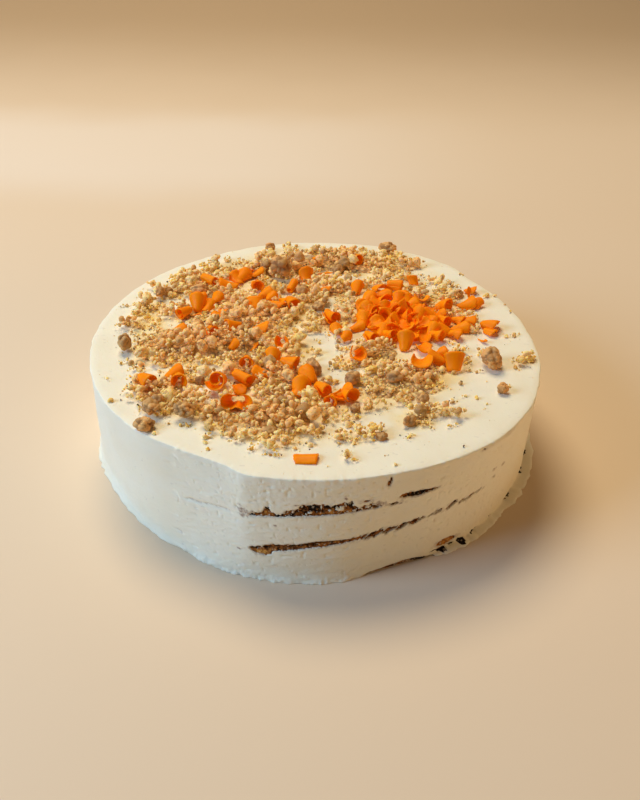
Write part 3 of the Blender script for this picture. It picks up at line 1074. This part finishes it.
def scatter_tree():
    """Node tree that puts one of a collection's shapes on each point, as its kept values say."""
    found = bpy.data.node_groups.get("Crumbs on points")
    if found:
        return found
    tree = bpy.data.node_groups.new("Crumbs on points", "GeometryNodeTree")
    tree.interface.new_socket("Points", in_out="INPUT", socket_type="NodeSocketGeometry")
    tree.interface.new_socket("Shapes", in_out="INPUT", socket_type="NodeSocketCollection")
    tree.interface.new_socket("Size", in_out="INPUT", socket_type="NodeSocketFloat").default_value = 1.0
    tree.interface.new_socket("Finish", in_out="INPUT", socket_type="NodeSocketMaterial")
    tree.interface.new_socket("Geometry", in_out="OUTPUT", socket_type="NodeSocketGeometry")
    nodes, links = tree.nodes, tree.links
    source = nodes.new("NodeGroupInput")
    shapes = nodes.new("GeometryNodeCollectionInfo")
    shapes.inputs["Separate Children"].default_value = True
    shapes.inputs["Reset Children"].default_value = True
    links.new(source.outputs["Shapes"], shapes.inputs["Collection"])

    def kept(name, kind):
        made = nodes.new("GeometryNodeInputNamedAttribute")
        made.data_type = kind
        made.inputs["Name"].default_value = name
        return made.outputs["Attribute"]

    turn = nodes.new("FunctionNodeEulerToRotation")
    links.new(kept("turn", "FLOAT_VECTOR"), turn.inputs["Euler"])
    scale = nodes.new("ShaderNodeVectorMath")
    scale.operation = "SCALE"
    links.new(kept("across", "FLOAT_VECTOR"), scale.inputs[0])
    links.new(source.outputs["Size"], scale.inputs["Scale"])
    place = nodes.new("GeometryNodeInstanceOnPoints")
    place.inputs["Pick Instance"].default_value = True
    links.new(source.outputs["Points"], place.inputs["Points"])
    links.new(shapes.outputs["Instances"], place.inputs["Instance"])
    links.new(kept("shape", "INT"), place.inputs["Instance Index"])
    links.new(turn.outputs["Rotation"], place.inputs["Rotation"])
    links.new(scale.outputs["Vector"], place.inputs["Scale"])
    real = nodes.new("GeometryNodeRealizeInstances")
    links.new(place.outputs["Instances"], real.inputs["Geometry"])
    finish = nodes.new("GeometryNodeSetMaterial")
    links.new(real.outputs["Geometry"], finish.inputs["Geometry"])
    links.new(source.outputs["Finish"], finish.inputs["Material"])
    result = nodes.new("NodeGroupOutput")
    links.new(finish.outputs["Geometry"], result.inputs["Geometry"])
    return tree


def scattered_piece(name, points, values, shapes, material):
    """One plain mesh of shapes put on points by the node tree."""
    mesh = bpy.data.meshes.new(name + "_points")
    mesh.from_pydata(points.tolist(), [], [])
    kinds = {"shape": "INT", "turn": "FLOAT_VECTOR", "across": "FLOAT_VECTOR"}
    for key, column in values.items():
        made = mesh.attributes.new(key, kinds.get(key, "FLOAT"), "POINT")
        field = "vector" if kinds.get(key) == "FLOAT_VECTOR" else "value"
        made.data.foreach_set(field, np.ascontiguousarray(column).ravel())
    carrier = bpy.data.objects.new(name + "_points", mesh)
    bpy.context.scene.collection.objects.link(carrier)
    tree = scatter_tree()
    modifier = carrier.modifiers.new("Scatter", "NODES")
    modifier.node_group = tree
    for socket in tree.interface.items_tree:
        if socket.in_out == "INPUT" and socket.name == "Shapes":
            modifier[socket.identifier] = shapes
        elif socket.in_out == "INPUT" and socket.name == "Size":
            modifier[socket.identifier] = 1.0
        elif socket.in_out == "INPUT" and socket.name == "Finish":
            modifier[socket.identifier] = material
    bpy.context.view_layer.update()
    evaluated = carrier.evaluated_get(bpy.context.evaluated_depsgraph_get())
    made = bpy.data.meshes.new_from_object(evaluated)
    bpy.data.objects.remove(carrier)
    made.name = name
    piece = bpy.data.objects.new(name, made)
    bpy.context.scene.collection.objects.link(piece)
    return piece


def hull_shape(name, corners, rough, seed):
    """A small broken fragment: the hull of a few scattered points, about 1 across."""
    chance = np.random.default_rng(seed)
    spread = chance.normal(size=(corners, 3))
    spread /= np.linalg.norm(spread, axis=1, keepdims=True)
    spread *= 0.5 * (1.0 - rough * chance.random((corners, 1)))
    shape = bmesh.new()
    for point in spread:
        shape.verts.new(point)
    made = bmesh.ops.convex_hull(shape, input=shape.verts)
    bmesh.ops.delete(shape, geom=[v for v in shape.verts if not v.link_faces], context="VERTS")
    bmesh.ops.recalc_face_normals(shape, faces=shape.faces)
    mesh = bpy.data.meshes.new(name)
    shape.to_mesh(mesh)
    shape.free()
    return bpy.data.objects.new(name, mesh)


def knobbly_shape(name, fineness, seed, knob=0.42, depth=0.34):
    """A lumpy walnut fragment about 1 across, keeping how deep each point lies between its knobs."""
    shape = bmesh.new()
    bmesh.ops.create_icosphere(shape, subdivisions=fineness, radius=0.5)
    mesh = bpy.data.meshes.new(name)
    shape.to_mesh(mesh)
    shape.free()
    count = len(mesh.vertices)
    points = np.zeros(count * 3)
    mesh.vertices.foreach_get("co", points)
    points = points.reshape(-1, 3)
    moved = points + 37.0 * seed
    between = nodules(moved, knob, 101 + seed)
    bend = noise(moved, 0.7, 102 + seed)
    fine = noise(moved, 0.16, 103 + seed)
    out = 1.0 - depth * np.minimum(between, 1.1) ** 2 + 0.28 * bend + 0.04 * fine
    points = points * out[:, None]
    mesh.vertices.foreach_set("co", points.ravel())
    mesh.shade_smooth()
    made = mesh.attributes.new("hollow", "FLOAT", "POINT")
    made.data.foreach_set("value", smooth(0.55, 0.95, between).astype(np.float32))
    return bpy.data.objects.new(name, mesh)


def shape_collection(name, shapes):
    made = bpy.data.collections.new(name)
    for shape in shapes:
        made.objects.link(shape)
    return made


def drop_shapes(collection):
    for shape in list(collection.objects):
        bpy.data.objects.remove(shape)
    bpy.data.collections.remove(collection)


# Properties


def colour_property(label, says, value):
    return bpy.props.FloatVectorProperty(name=label, description=says, default=value, size=3, subtype="COLOR", min=0.0, max=1.0)


def length_property(label, says, value):
    return bpy.props.FloatProperty(name=label, description=says, default=value, min=0.0, subtype="DISTANCE", unit="LENGTH")


class CakeSizes(bpy.types.PropertyGroup):
    """Sizes a user would change."""

    curl_thickness: length_property("Curl thickness", "Thickness of the chocolate shavings", 0.8 * MM)
    crumb_amount: bpy.props.FloatProperty(
        name="Crumb amount", description="Share of the usual number of walnut crumbs", default=1.0, min=0.05, max=1.2,
        subtype="FACTOR")
    crumb_size: bpy.props.FloatProperty(
        name="Crumb size", description="Share of the usual size of walnut crumbs", default=1.0, min=0.5, max=1.5,
        subtype="FACTOR")
    walnut_roughness: bpy.props.FloatProperty(
        name="Walnut roughness", description="Depth of the folds in the large walnut pieces", default=0.5, min=0.0,
        max=0.6, subtype="FACTOR")


class CakeColours(bpy.types.PropertyGroup):
    """Colours a user would change."""

    cream: colour_property("Cream", "Whipped cream", (0.93, 0.865, 0.69))
    cream_shade: colour_property("Cream shade", "Whipped cream where it is a little denser", (0.91, 0.83, 0.64))
    sponge: colour_property("Sponge", "Carrot sponge", (0.36, 0.125, 0.022))
    nut_flesh: colour_property("Walnut flesh", "Broken walnut", (0.98, 0.70, 0.31))
    nut_skin: colour_property("Walnut skin", "Brown skin of the walnut", (0.38, 0.18, 0.06))
    nut_meal: colour_property("Walnut meal", "Fine golden meal", (0.96, 0.58, 0.13))
    curl_orange: colour_property("Curl orange", "Orange chocolate", (1.0, 0.27, 0.001))
    floor: colour_property("Floor", "Paper the cake stands on", (0.79, 0.63, 0.46))


# Operators


class CAKE_OT_coat(bpy.types.Operator):
    """Scraped cream coat with its bare bands, creases and spread foot."""

    bl_idname = "cake.coat"
    bl_label = "Cream coat"

    def execute(self, context):
        degrees = coat_columns()
        rings, values = build_coat_rings(degrees)
        flat = rings / MM
        on_top = rings[..., 2] > CREAM_TOP - 2.0 * MM
        values["dusting"] = np.where(on_top, smooth(0.05, 0.8, cover(flat[..., 0], flat[..., 1])), 0.0)
        coat = closed_piece("cream_coat", rings, kept_finish("Whipped cream", cream_finish), values)
        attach(coat, BODY)
        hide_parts("frosting")
        return {"FINISHED"}


def layer_edge(tree, degrees, down):
    """Height of a layer's upper or lower face just inside its outside, at each angle."""
    heights = []
    for step in range(TURN_STEPS):
        angle = 2.0 * math.pi * (step + 0.001) / TURN_STEPS
        reach = 0.97 * LAYER_RADII[step]
        start = Vector((reach * math.cos(angle), reach * math.sin(angle), 0.3 if down else -0.3))
        heights.append(tree.ray_cast(start, Vector((0.0, 0.0, -1.0 if down else 1.0)))[0].z)
    return round_cake(np.array(heights), degrees)


def sponge_layer(name, node):
    """A layer of sponge whose crumb comes out to the bare bands of the coat."""
    degrees = np.concatenate([np.arange(FRONT_FROM, FRONT_TO, 0.2), np.linspace(FRONT_TO, FRONT_FROM + 360.0, 90)[:-1]])
    turn = np.radians(degrees)
    tree = node_tree(node)
    top = layer_edge(tree, degrees, True)
    bottom = layer_edge(tree, degrees, False)
    side = round_cake(outer_radii(tree, 0.5 * (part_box(node)[0].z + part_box(node)[1].z)), degrees)
    rings, tones = [], []

    def add(radius, height, tone=0.5):
        rings.append(np.stack([radius * np.cos(turn), radius * np.sin(turn), height], axis=-1))
        tones.append(np.broadcast_to(tone, degrees.shape).copy())

    for share in (0.1, 0.4, 0.7, 0.93):
        add(share * side, top)
    count = int((top - bottom).max() / MM / 0.42)
    for row in range(count + 1):
        height = top + (bottom - top) * row / count
        level = height / MM
        inside = bare_depth(degrees, level)
        place = wall_place(degrees, level)
        knobs = nodules(place, 1.35, 111)
        grain = noise(place, 0.7, 112)
        tone = crumb_tone(degrees, level)
        deep = smooth(0.3, 0.05, tone)
        inset = 0.15 + 0.95 * knobs + 0.25 * grain + 2.4 * deep
        out = wall_radius(degrees, height) - inset * MM
        shows = smooth(-0.4, 0.15, inside)
        add(np.where(out > side, side + (out - side) * shows, side), height, tone + 0.3 * (0.55 - knobs))
    for share in (0.93, 0.7, 0.4, 0.1):
        add(share * side, bottom)
    return closed_piece(name, np.array(rings), kept_finish("Carrot sponge", sponge_finish), {"tone": np.array(tones)})


class CAKE_OT_layers(bpy.types.Operator):
    """Two sponge layers, with the cream filling between them."""

    bl_idname = "cake.layers"
    bl_label = "Sponge and filling"

    def execute(self, context):
        for name, node in (("carrot_sponge_lower", "sponge_lower"), ("carrot_sponge_upper", "sponge_upper")):
            layer = sponge_layer(name, node)
            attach(layer, BODY)
            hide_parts(node)
        filling = frame["nodes"]["cream_filling"]
        filling.data.materials.clear()
        filling.data.materials.append(kept_finish("Whipped cream", cream_finish))
        return {"FINISHED"}


def slab(x, y, z, floor):
    """Points and faces of a closed slab under a surface given on a grid, in millimetres."""
    rows, columns = x.shape
    count = rows * columns
    here = np.arange(count).reshape(rows, columns)
    points = np.stack([x, y, z], axis=-1).reshape(-1, 3)
    faces = np.stack([here[:-1, :-1], here[1:, :-1], here[1:, 1:], here[:-1, 1:]], axis=-1).reshape(-1, 4).tolist()
    border = np.concatenate([here[:, 0], here[-1, 1:], here[-2::-1, -1], here[0, -2:0:-1]])
    low = points[border].copy()
    low[:, 2] = floor
    points = np.vstack([points, low])
    size = len(border)
    for index in range(size):
        after = (index + 1) % size
        faces.append([int(border[index]), count + index, count + after, int(border[after])])
    faces.append([count + index for index in reversed(range(size))])
    return points, faces


class CAKE_OT_bed(bpy.types.Operator):
    """Relief of packed nut meal that lies under the loose crumbs."""

    bl_idname = "cake.bed"
    bl_label = "Walnut bed"

    def execute(self, context):
        x, y, z = core_surface()
        angle = np.arctan2(y, x)
        square = np.maximum(np.abs(x), np.abs(y))
        reach = np.hypot(x, y)
        shrink = np.where(reach > 0.0, square / np.maximum(reach, 1e-6), 1.0)
        round_x, round_y = x * shrink, y * shrink
        z = self.heights(round_x, round_y)
        faces_points = slab(round_x, round_y, z, -1.6)
        points = faces_points[0] * MM + np.array([0.0, 0.0, CREAM_TOP])
        mesh = bpy.data.meshes.new("walnut_bed_core")
        mesh.from_pydata(points.tolist(), [], faces_points[1])
        mesh.shade_smooth()
        core = bpy.data.objects.new("walnut_bed_core", mesh)
        bpy.context.scene.collection.objects.link(core)
        mesh.materials.append(kept_finish("Packed walnut", packed_finish))
        place = np.stack([points[:, 0], points[:, 1], 0.0 * points[:, 0]], axis=-1) / MM
        add_values(core, "gold", np.clip(0.15 + 0.3 * noise(place, 9.0, 121), 0.0, 1.0))
        add_values(core, "skin", 0.25 * smooth(0.2, 0.8, noise(place, 2.2, 122)))
        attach(core, BODY)
        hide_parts("walnut_bed")
        return {"FINISHED"}

    @staticmethod
    def heights(x, y):
        grid_x, grid_y, grid_z = core_surface()
        landing = Landing()
        landing.height -= 9.0
        landing.add_surface(grid_x, grid_y, grid_z)
        return landing.height[landing.index(x), landing.index(y)].clip(-0.9, None)


def walnut_shape(size, heading, fineness, seed, knob):
    """A large folded piece of walnut about the origin: its points, faces, and gold, skin and hollow values."""
    shape = knobbly_shape("walnut_shape", fineness, seed, knob, value_of("cake_sizes", "walnut_roughness"))
    mesh = shape.data
    points = np.zeros(len(mesh.vertices) * 3)
    mesh.vertices.foreach_get("co", points)
    points = points.reshape(-1, 3)
    points -= 0.5 * (points.min(axis=0) + points.max(axis=0))
    points = points / np.ptp(points, axis=0) * np.array(size)
    faces = np.array([face.vertices[:] for face in mesh.polygons])
    hollow = np.zeros(len(points), np.float32)
    mesh.attributes["hollow"].data.foreach_get("value", hollow)
    bpy.data.objects.remove(shape)
    bpy.data.meshes.remove(mesh)
    facing = noise(points / MM + 19.0 * seed, 6.0, 130 + seed)
    gold = np.clip(0.2 + 0.3 * facing, 0.0, 1.0)
    skin = np.clip(0.75 * hollow + 0.55 * smooth(-0.1, 0.35, facing), 0.0, 1.0)
    turned = points @ np.array(Matrix.Rotation(math.radians(heading), 3, "Z")).T
    return turned, faces, np.stack([gold, skin, hollow], axis=-1)


class CAKE_OT_walnuts(bpy.types.Operator):
    """Large walnut pieces, folded and knobbly."""

    bl_idname = "cake.walnuts"
    bl_label = "Walnut pieces"

    def execute(self, context):
        names = sorted(name for name in frame["nodes"] if name.startswith("walnut_") and name[7:].isdigit())
        finish = kept_finish("Walnut pieces", chunk_finish)
        for index, node in enumerate(names):
            low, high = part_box(node)
            points, faces, values = walnut_shape(high - low, 0.0, 5, 3 + index, 0.34 + 0.05 * (index % 3))
            points += np.array(0.5 * (low + high)) - (0.0, 0.0, WALNUT_SINK)
            self.finished(node + "_piece", points, faces, values, finish, [node])
        landing = finished_landing([])
        all_points, all_faces, all_values, count = [], [], [], 0
        for index, (x, y, length, width, height, heading, skin) in enumerate(FRAGMENTS):
            size = Vector((length, width, height)) * MM
            points, faces, values = walnut_shape(size, heading, 4, 40 + index, 0.4)
            ground = landing.height[landing.index(np.array([x])), landing.index(np.array([y]))][0] * MM
            points += (x * MM, y * MM, CREAM_TOP + ground + 0.5 * size.z - WALNUT_SINK)
            values[:, 1] = np.clip(values[:, 1] + skin, 0.0, 1.0)
            all_points.append(points)
            all_faces.append(faces + count)
            all_values.append(values)
            count += len(points)
        self.finished("walnut_fragments", np.concatenate(all_points), np.concatenate(all_faces),
                      np.concatenate(all_values), finish, [])
        return {"FINISHED"}

    @staticmethod
    def finished(name, points, faces, values, finish, nodes):
        piece = new_piece(name, points, faces, finish)
        for column, key in enumerate(("gold", "skin", "hollow")):
            add_values(piece, key, values[:, column])
        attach(piece, BODY)
        for node in nodes:
            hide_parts(node)


class CAKE_OT_curls(bpy.types.Operator):
    """Loose curls of orange chocolate, one for each packed curl, and the slivers between them."""

    bl_idname = "cake.curls"
    bl_label = "Loose curls"

    def execute(self, context):
        orange = kept_finish("Orange chocolate", chocolate_finish)
        landing = finished_landing([])
        for index, (kind, heading, lift, roll, size) in enumerate(CURLS, start=1):
            node = f"curl_{index:02d}"
            low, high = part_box(node)
            points, faces = turned_curl(kind, heading, lift, roll, size, index)
            points -= 0.5 * (points.min(axis=0) + points.max(axis=0))
            middle = 0.5 * (low + high) / MM
            points = drop_curl(points, landing, middle.x, middle.y, LOOSE_SINK, 2.0 * HEAP_CEILING, LOOSE_NESTING)
            curl = new_piece(f"orange_curl_{index:02d}", points, faces, orange)
            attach(curl, BODY)
            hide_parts(node)
        return {"FINISHED"}


def joined_curls(rows, landing, sink, ceiling, seed):
    """Curls dropped one after another, none standing above a dome of the ceiling's height."""
    all_points, all_faces, count = [], [], 0
    middle = np.mean([row[1:3] for row in rows], axis=0)
    for index, (kind, x, y, heading, lift, roll, size) in enumerate(rows):
        points, faces = turned_curl(kind, heading, lift, roll, size, seed + index)
        away = math.hypot(x - middle[0], y - middle[1])
        placed = drop_curl(points, landing, x, y, sink, ceiling - 0.004 * away**2)
        all_points.append(placed)
        all_faces.append(faces + count)
        count += len(placed)
    return np.concatenate(all_points), np.concatenate(all_faces)


def finished_landing(names):
    """Heights of the finished pieces named, seen from above."""
    landing = Landing()
    x, y, z = core_surface()
    landing.add_surface(x, y, z)
    for name in names:
        points = np.zeros(len(bpy.data.objects[name].data.vertices) * 3)
        bpy.data.objects[name].data.vertices.foreach_get("co", points)
        points = points.reshape(-1, 3)
        landing.raise_to(points[:, 0] / MM, points[:, 1] / MM, (points[:, 2] - CREAM_TOP) / MM)
    return landing


class CAKE_OT_heap(bpy.types.Operator):
    """The heap of curls over its low core, and the small curls that lie about."""

    bl_idname = "cake.heap"
    bl_label = "Curl heap"

    def execute(self, context):
        orange = kept_finish("Orange chocolate", chocolate_finish)
        low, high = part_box("curl_heap")
        centre = 0.5 * (low + high) / MM
        half = 0.5 * (high - low) / MM
        shares = np.concatenate([[0.03], np.linspace(0.12, 1.0, 16)])
        turn = np.linspace(0.0, 2.0 * math.pi, 97)[:-1]
        rings = []
        for share in shares:
            x = centre.x + 0.86 * half.x * share * np.cos(turn)
            y = centre.y + 0.86 * half.y * share * np.sin(turn)
            place = np.stack([x, y, 0.0 * x], axis=-1)
            hump = 5.2 * (1.0 - share**2) - 0.6 * share**4
            rough = 1.3 * (0.5 - nodules(place, 4.6, 141)) + 0.5 * noise(place, 1.8, 142)
            rings.append(np.stack([x, y, hump + rough * (1.0 - share**6)], axis=-1))
        base = rings[-1].copy()
        base[:, 2] = -1.0
        rings.extend([base, base * (0.5, 0.5, 1.0) + 0.5 * np.array([centre.x, centre.y, 0.0])])
        rings = np.array(rings)
        core_points = rings.reshape(-1, 3)
        core_rings = rings * MM + np.array([0.0, 0.0, CREAM_TOP])
        core = closed_piece("curl_heap_core", core_rings, orange, {})
        landing = finished_landing([])
        landing.raise_to(core_points[:, 0], core_points[:, 1], core_points[:, 2])
        for spread in range(2):
            height = landing.height
            landing.height = np.maximum.reduce([height, np.roll(height, 1, 0) - 0.2, np.roll(height, 1, 1) - 0.2])
        points, faces = joined_curls(HEAP_CURLS, landing, HEAP_SINK, HEAP_CEILING, 100)
        heap = new_piece("curl_heap_curls", points, faces, orange)
        points, faces = joined_curls(LESSER_CURLS, finished_landing([]), 0.4 * MM, 2.0 * HEAP_CEILING, 200)
        lesser = new_piece("small_curls", points, faces, orange)
        for piece in (core, heap, lesser):
            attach(piece, BODY)
        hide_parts("curl_heap")
        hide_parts("curl_heap")
        return {"FINISHED"}


def scattered_places(count, chance, thin):
    """Random places on the cake, thickest where the cover is."""
    found_x, found_y = [], []
    needed = count
    while needed > 0:
        angle = chance.random(4 * count) * 2.0 * math.pi
        reach = np.sqrt(chance.random(4 * count)) * CRUMB_REACH
        x, y = reach * np.cos(angle), reach * np.sin(angle)
        clump = 0.35 + 0.65 * smooth(-0.25, 0.3, noise(np.stack([x, y, 0.0 * x], axis=-1), 8.5, 73))
        kept = chance.random(4 * count) < clump * np.clip(cover(x, y), 0.0, 1.15) ** thin / 1.15
        x, y = x[kept][:needed], y[kept][:needed]
        found_x.append(x)
        found_y.append(y)
        needed -= len(x)
    return np.concatenate(found_x), np.concatenate(found_y)


def gathered_places(count, chance, near, share):
    """Places of which a share lie close against larger crumbs; near holds their x, y and radius."""
    close = int(count * share)
    x, y = scattered_places(count - close, chance, 1.25)
    if not close:
        return x, y
    chosen = near[chance.integers(0, len(near), close)]
    angle = chance.random(close) * 2.0 * math.pi
    away = chosen[:, 2] * (0.7 + 0.9 * np.abs(chance.normal(size=close))) + 0.6
    return (np.concatenate([x, chosen[:, 0] + away * np.cos(angle)]),
            np.concatenate([y, chosen[:, 1] + away * np.sin(angle)]))


def pieces_tree(prefixes):
    """One tree of the surfaces of the finished pieces whose names begin so."""
    points, polygons = [], []
    for piece in bpy.context.scene.objects:
        if piece.type == "MESH" and piece.name.startswith(prefixes):
            base = len(points)
            points.extend(v.co.copy() for v in piece.data.vertices)
            polygons.extend(tuple(base + corner for corner in p.vertices) for p in piece.data.polygons)
    return BVHTree.FromPolygons(points, polygons)


class CAKE_OT_crumbs(bpy.types.Operator):
    """Crushed walnuts in every size, from lumps to meal and flecks of skin."""

    bl_idname = "cake.crumbs"
    bl_label = "Walnut crumbs"

    def execute(self, context):
        landing = finished_landing([])
        landing.packed = landing.height.copy()
        in_the_way = pieces_tree(("orange_curl", "curl_heap_curls", "small_curls", "walnut_0", "walnut_1", "walnut_fragments"))
        crumb = kept_finish("Crushed walnut", crumb_finish)
        finishes = {
            "walnut_lumps": crumb,
            "walnut_knobs": crumb,
            "walnut_crumbs": crumb,
            "walnut_grains": crumb,
            "walnut_meal": kept_finish("Walnut meal", meal_finish),
            "walnut_skin_flecks": kept_finish("Walnut flecks", fleck_finish),
        }
        shapes = {
            "walnut_lumps": [knobbly_shape(f"lump_{n}", 3, 20 + n, 0.36, 0.6) for n in range(10)],
            "walnut_knobs": [knobbly_shape(f"knob_{n}", 2, 30 + n, 0.5, 0.5) for n in range(10)],
            "walnut_crumbs": [hull_shape(f"crumb_{n}", 20, 0.42, 40 + n) for n in range(10)],
            "walnut_grains": [hull_shape(f"grain_{n}", 11, 0.4, 60 + n) for n in range(8)],
            "walnut_meal": [hull_shape(f"meal_{n}", 7, 0.45, 80 + n) for n in range(8)],
            "walnut_skin_flecks": [hull_shape(f"fleck_{n}", 6, 0.45, 95 + n) for n in range(6)],
        }
        near = np.zeros((0, 3))
        for name, count, smallest, largest, close, seed in CRUMB_SIZES:
            chance = np.random.default_rng(seed)
            wanted = int(count * value_of("cake_sizes", "crumb_amount"))
            x, y = gathered_places(wanted, chance, near, close / 10.0)
            across = smallest + (largest - smallest) * chance.random(len(x)) ** 1.6
            across *= value_of("cake_sizes", "crumb_size")
            stretch = 0.8 + 0.4 * chance.random((len(x), 3))
            stretch[:, 2] *= 0.85
            places, kept = [], []
            for index in range(len(x)):
                radius = 0.5 * across[index]
                if math.hypot(x[index], y[index]) > CRUMB_REACH:
                    continue
                found = landing.rest(x[index], y[index], radius, 0.75, 0.35)
                place = Vector((x[index] * MM, y[index] * MM, CREAM_TOP + found[0] * MM))
                distance = in_the_way.find_nearest(place, 0.02)[3]
                if found[0] - radius > PILE_LIMIT + found[1] or (distance and distance < radius * 0.8 * MM):
                    continue
                landing.lay(x[index], y[index], radius, 0.75, found[0])
                places.append(place)
                kept.append(index)
            kept = np.array(kept)
            flat = np.array([place[:] for place in places])
            if largest > 2.0:
                near = np.vstack([near, np.stack([x[kept], y[kept], 0.5 * across[kept]], axis=-1)])
            region = np.stack([x[kept], y[kept], np.zeros(len(kept))], axis=-1)
            high = smooth(2.5, 7.0, (flat[:, 2] - CREAM_TOP) / MM)
            dense = smooth(0.55, 1.0, cover(x[kept], y[kept]))
            lumpy = smooth(2.0, 5.0, across[kept])
            gold = np.clip(0.78 - 0.3 * lumpy - 0.3 * dense - 0.3 * high + 0.7 * (chance.random(len(kept)) - 0.5)
                           + 0.3 * noise(region, 11.0, 151), 0.0, 1.0)
            skin = np.where(chance.random(len(kept)) < 0.15, 0.3 + 0.6 * chance.random(len(kept)), 0.0)
            turn = chance.random((len(kept), 3)) * (0.9, 0.9, 2.0 * math.pi)
            values = {
                "shape": chance.integers(0, len(shapes[name]), len(kept)).astype(np.int32),
                "turn": turn.astype(np.float32),
                "across": (across[kept, None] * stretch[kept] * MM).astype(np.float32),
                "gold": gold.astype(np.float32),
                "skin": skin.astype(np.float32),
            }
            kinds = shape_collection(name + "_shapes", shapes[name])
            piece = scattered_piece(name, flat, values, kinds, finishes[name])
            drop_shapes(kinds)
            print(name, len(kept), "crumbs", len(piece.data.polygons), "faces")
            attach(piece, BODY)
            if name == "walnut_crumbs":
                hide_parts("walnut_bed")
        return {"FINISHED"}


def soft_light(name, place, aim, size, power, colour):
    lamp = bpy.data.lights.new(name, "AREA")
    lamp.shape = "DISK"
    lamp.size = size
    lamp.energy = power
    lamp.color = colour
    made = bpy.data.objects.new(name, lamp)
    bpy.context.scene.collection.objects.link(made)
    made.location = place
    made.rotation_euler = (Vector(aim) - Vector(place)).to_track_quat("-Z", "Y").to_euler()
    return made


class CAKE_OT_studio(bpy.types.Operator):
    """Pale sweep of paper, soft light and the camera."""

    bl_idname = "cake.studio"
    bl_label = "Studio"

    def execute(self, context):
        scene = context.scene
        scene.view_settings.view_transform = "Standard"
        sweep_start, sweep_radius, half_width, tall = 1.3, 0.6, 3.0, 1.0
        outline = [(-2.4, 0.0), (-0.8, 0.0), (sweep_start, 0.0)]
        for step in range(1, 17):
            angle = math.radians(90.0 * step / 16)
            outline.append((sweep_start + sweep_radius * math.sin(angle), sweep_radius * (1.0 - math.cos(angle))))
        outline.append((sweep_start + sweep_radius, tall))
        points = [(side * half_width, y, z) for y, z in outline for side in (-1.0, 1.0)]
        faces = [(2 * row, 2 * row + 1, 2 * row + 3, 2 * row + 2) for row in range(len(outline) - 1)]
        sweep = new_piece("paper_sweep", points, faces, kept_finish("Pale paper", paper_finish))
        soft_light("key_light", (-0.45, 0.9, 2.0), (0.0, 0.0, 0.05), 1.2, 37.5, (1.0, 0.85, 0.60))
        soft_light("window_light", (-1.4, -0.5, 0.85), (0.0, 0.0, 0.04), 0.9, 23.5, (0.48, 0.70, 1.0))
        soft_light("warm_bounce", (1.3, -0.35, 0.25), (0.0, 0.0, 0.04), 0.8, 5.2, (1.0, 0.63, 0.30))
        world = bpy.data.worlds.new("Studio air")
        world.use_nodes = True
        background = world.node_tree.nodes["Background"]
        background.inputs["Color"].default_value = (1.0, 0.80, 0.60, 1.0)
        background.inputs["Strength"].default_value = 0.04
        scene.world = world
        elevation, roll = math.radians(34.83), math.radians(0.888)
        target, distance = Vector((2.96 * MM, 0.0, 26.17 * MM)), 658.54 * MM
        back = Vector((0.0, -math.cos(elevation), math.sin(elevation)))
        right = Vector((1.0, 0.0, 0.0))
        upward = back.cross(right)
        side = math.cos(roll) * right + math.sin(roll) * upward
        above = -math.sin(roll) * right + math.cos(roll) * upward
        lens = bpy.data.cameras.new("camera")
        lens.lens = 45.0
        lens.sensor_width = 36.0
        camera = bpy.data.objects.new("camera", lens)
        scene.collection.objects.link(camera)
        camera.matrix_world = Matrix.Translation(target + back * distance) @ Matrix((side, above, back)).transposed().to_4x4()
        scene.camera = camera
        return {"FINISHED"}


STEPS = (
    CAKE_OT_coat, CAKE_OT_layers, CAKE_OT_bed, CAKE_OT_walnuts, CAKE_OT_curls, CAKE_OT_heap, CAKE_OT_crumbs,
    CAKE_OT_studio,
)


class CAKE_PT_panel(bpy.types.Panel):
    """Sidebar list of the cake's pieces, sizes and colours."""

    bl_idname = "CAKE_PT_panel"
    bl_label = "Carrot cake"
    bl_space_type = "VIEW_3D"
    bl_region_type = "UI"
    bl_category = "Cake"

    def draw(self, context):
        for group in (context.scene.cake_sizes, context.scene.cake_colours):
            box = self.layout.box()
            for name in group.__annotations__:
                box.prop(group, name)
        for step in STEPS:
            self.layout.operator(step.bl_idname)


CLASSES = (CakeSizes, CakeColours, *STEPS, CAKE_PT_panel)


def register():
    for made in CLASSES:
        bpy.utils.register_class(made)
    bpy.types.Scene.cake_sizes = bpy.props.PointerProperty(type=CakeSizes)
    bpy.types.Scene.cake_colours = bpy.props.PointerProperty(type=CakeColours)


def unregister():
    del bpy.types.Scene.cake_sizes
    del bpy.types.Scene.cake_colours
    for made in reversed(CLASSES):
        bpy.utils.unregister_class(made)


def main():
    register()
    bpy.ops.cake.coat()
    bpy.ops.cake.layers()
    bpy.ops.cake.bed()
    bpy.ops.cake.walnuts()
    bpy.ops.cake.curls()
    bpy.ops.cake.heap()
    bpy.ops.cake.crumbs()
    bpy.ops.cake.studio()


if __name__ == "__main__":
    main()
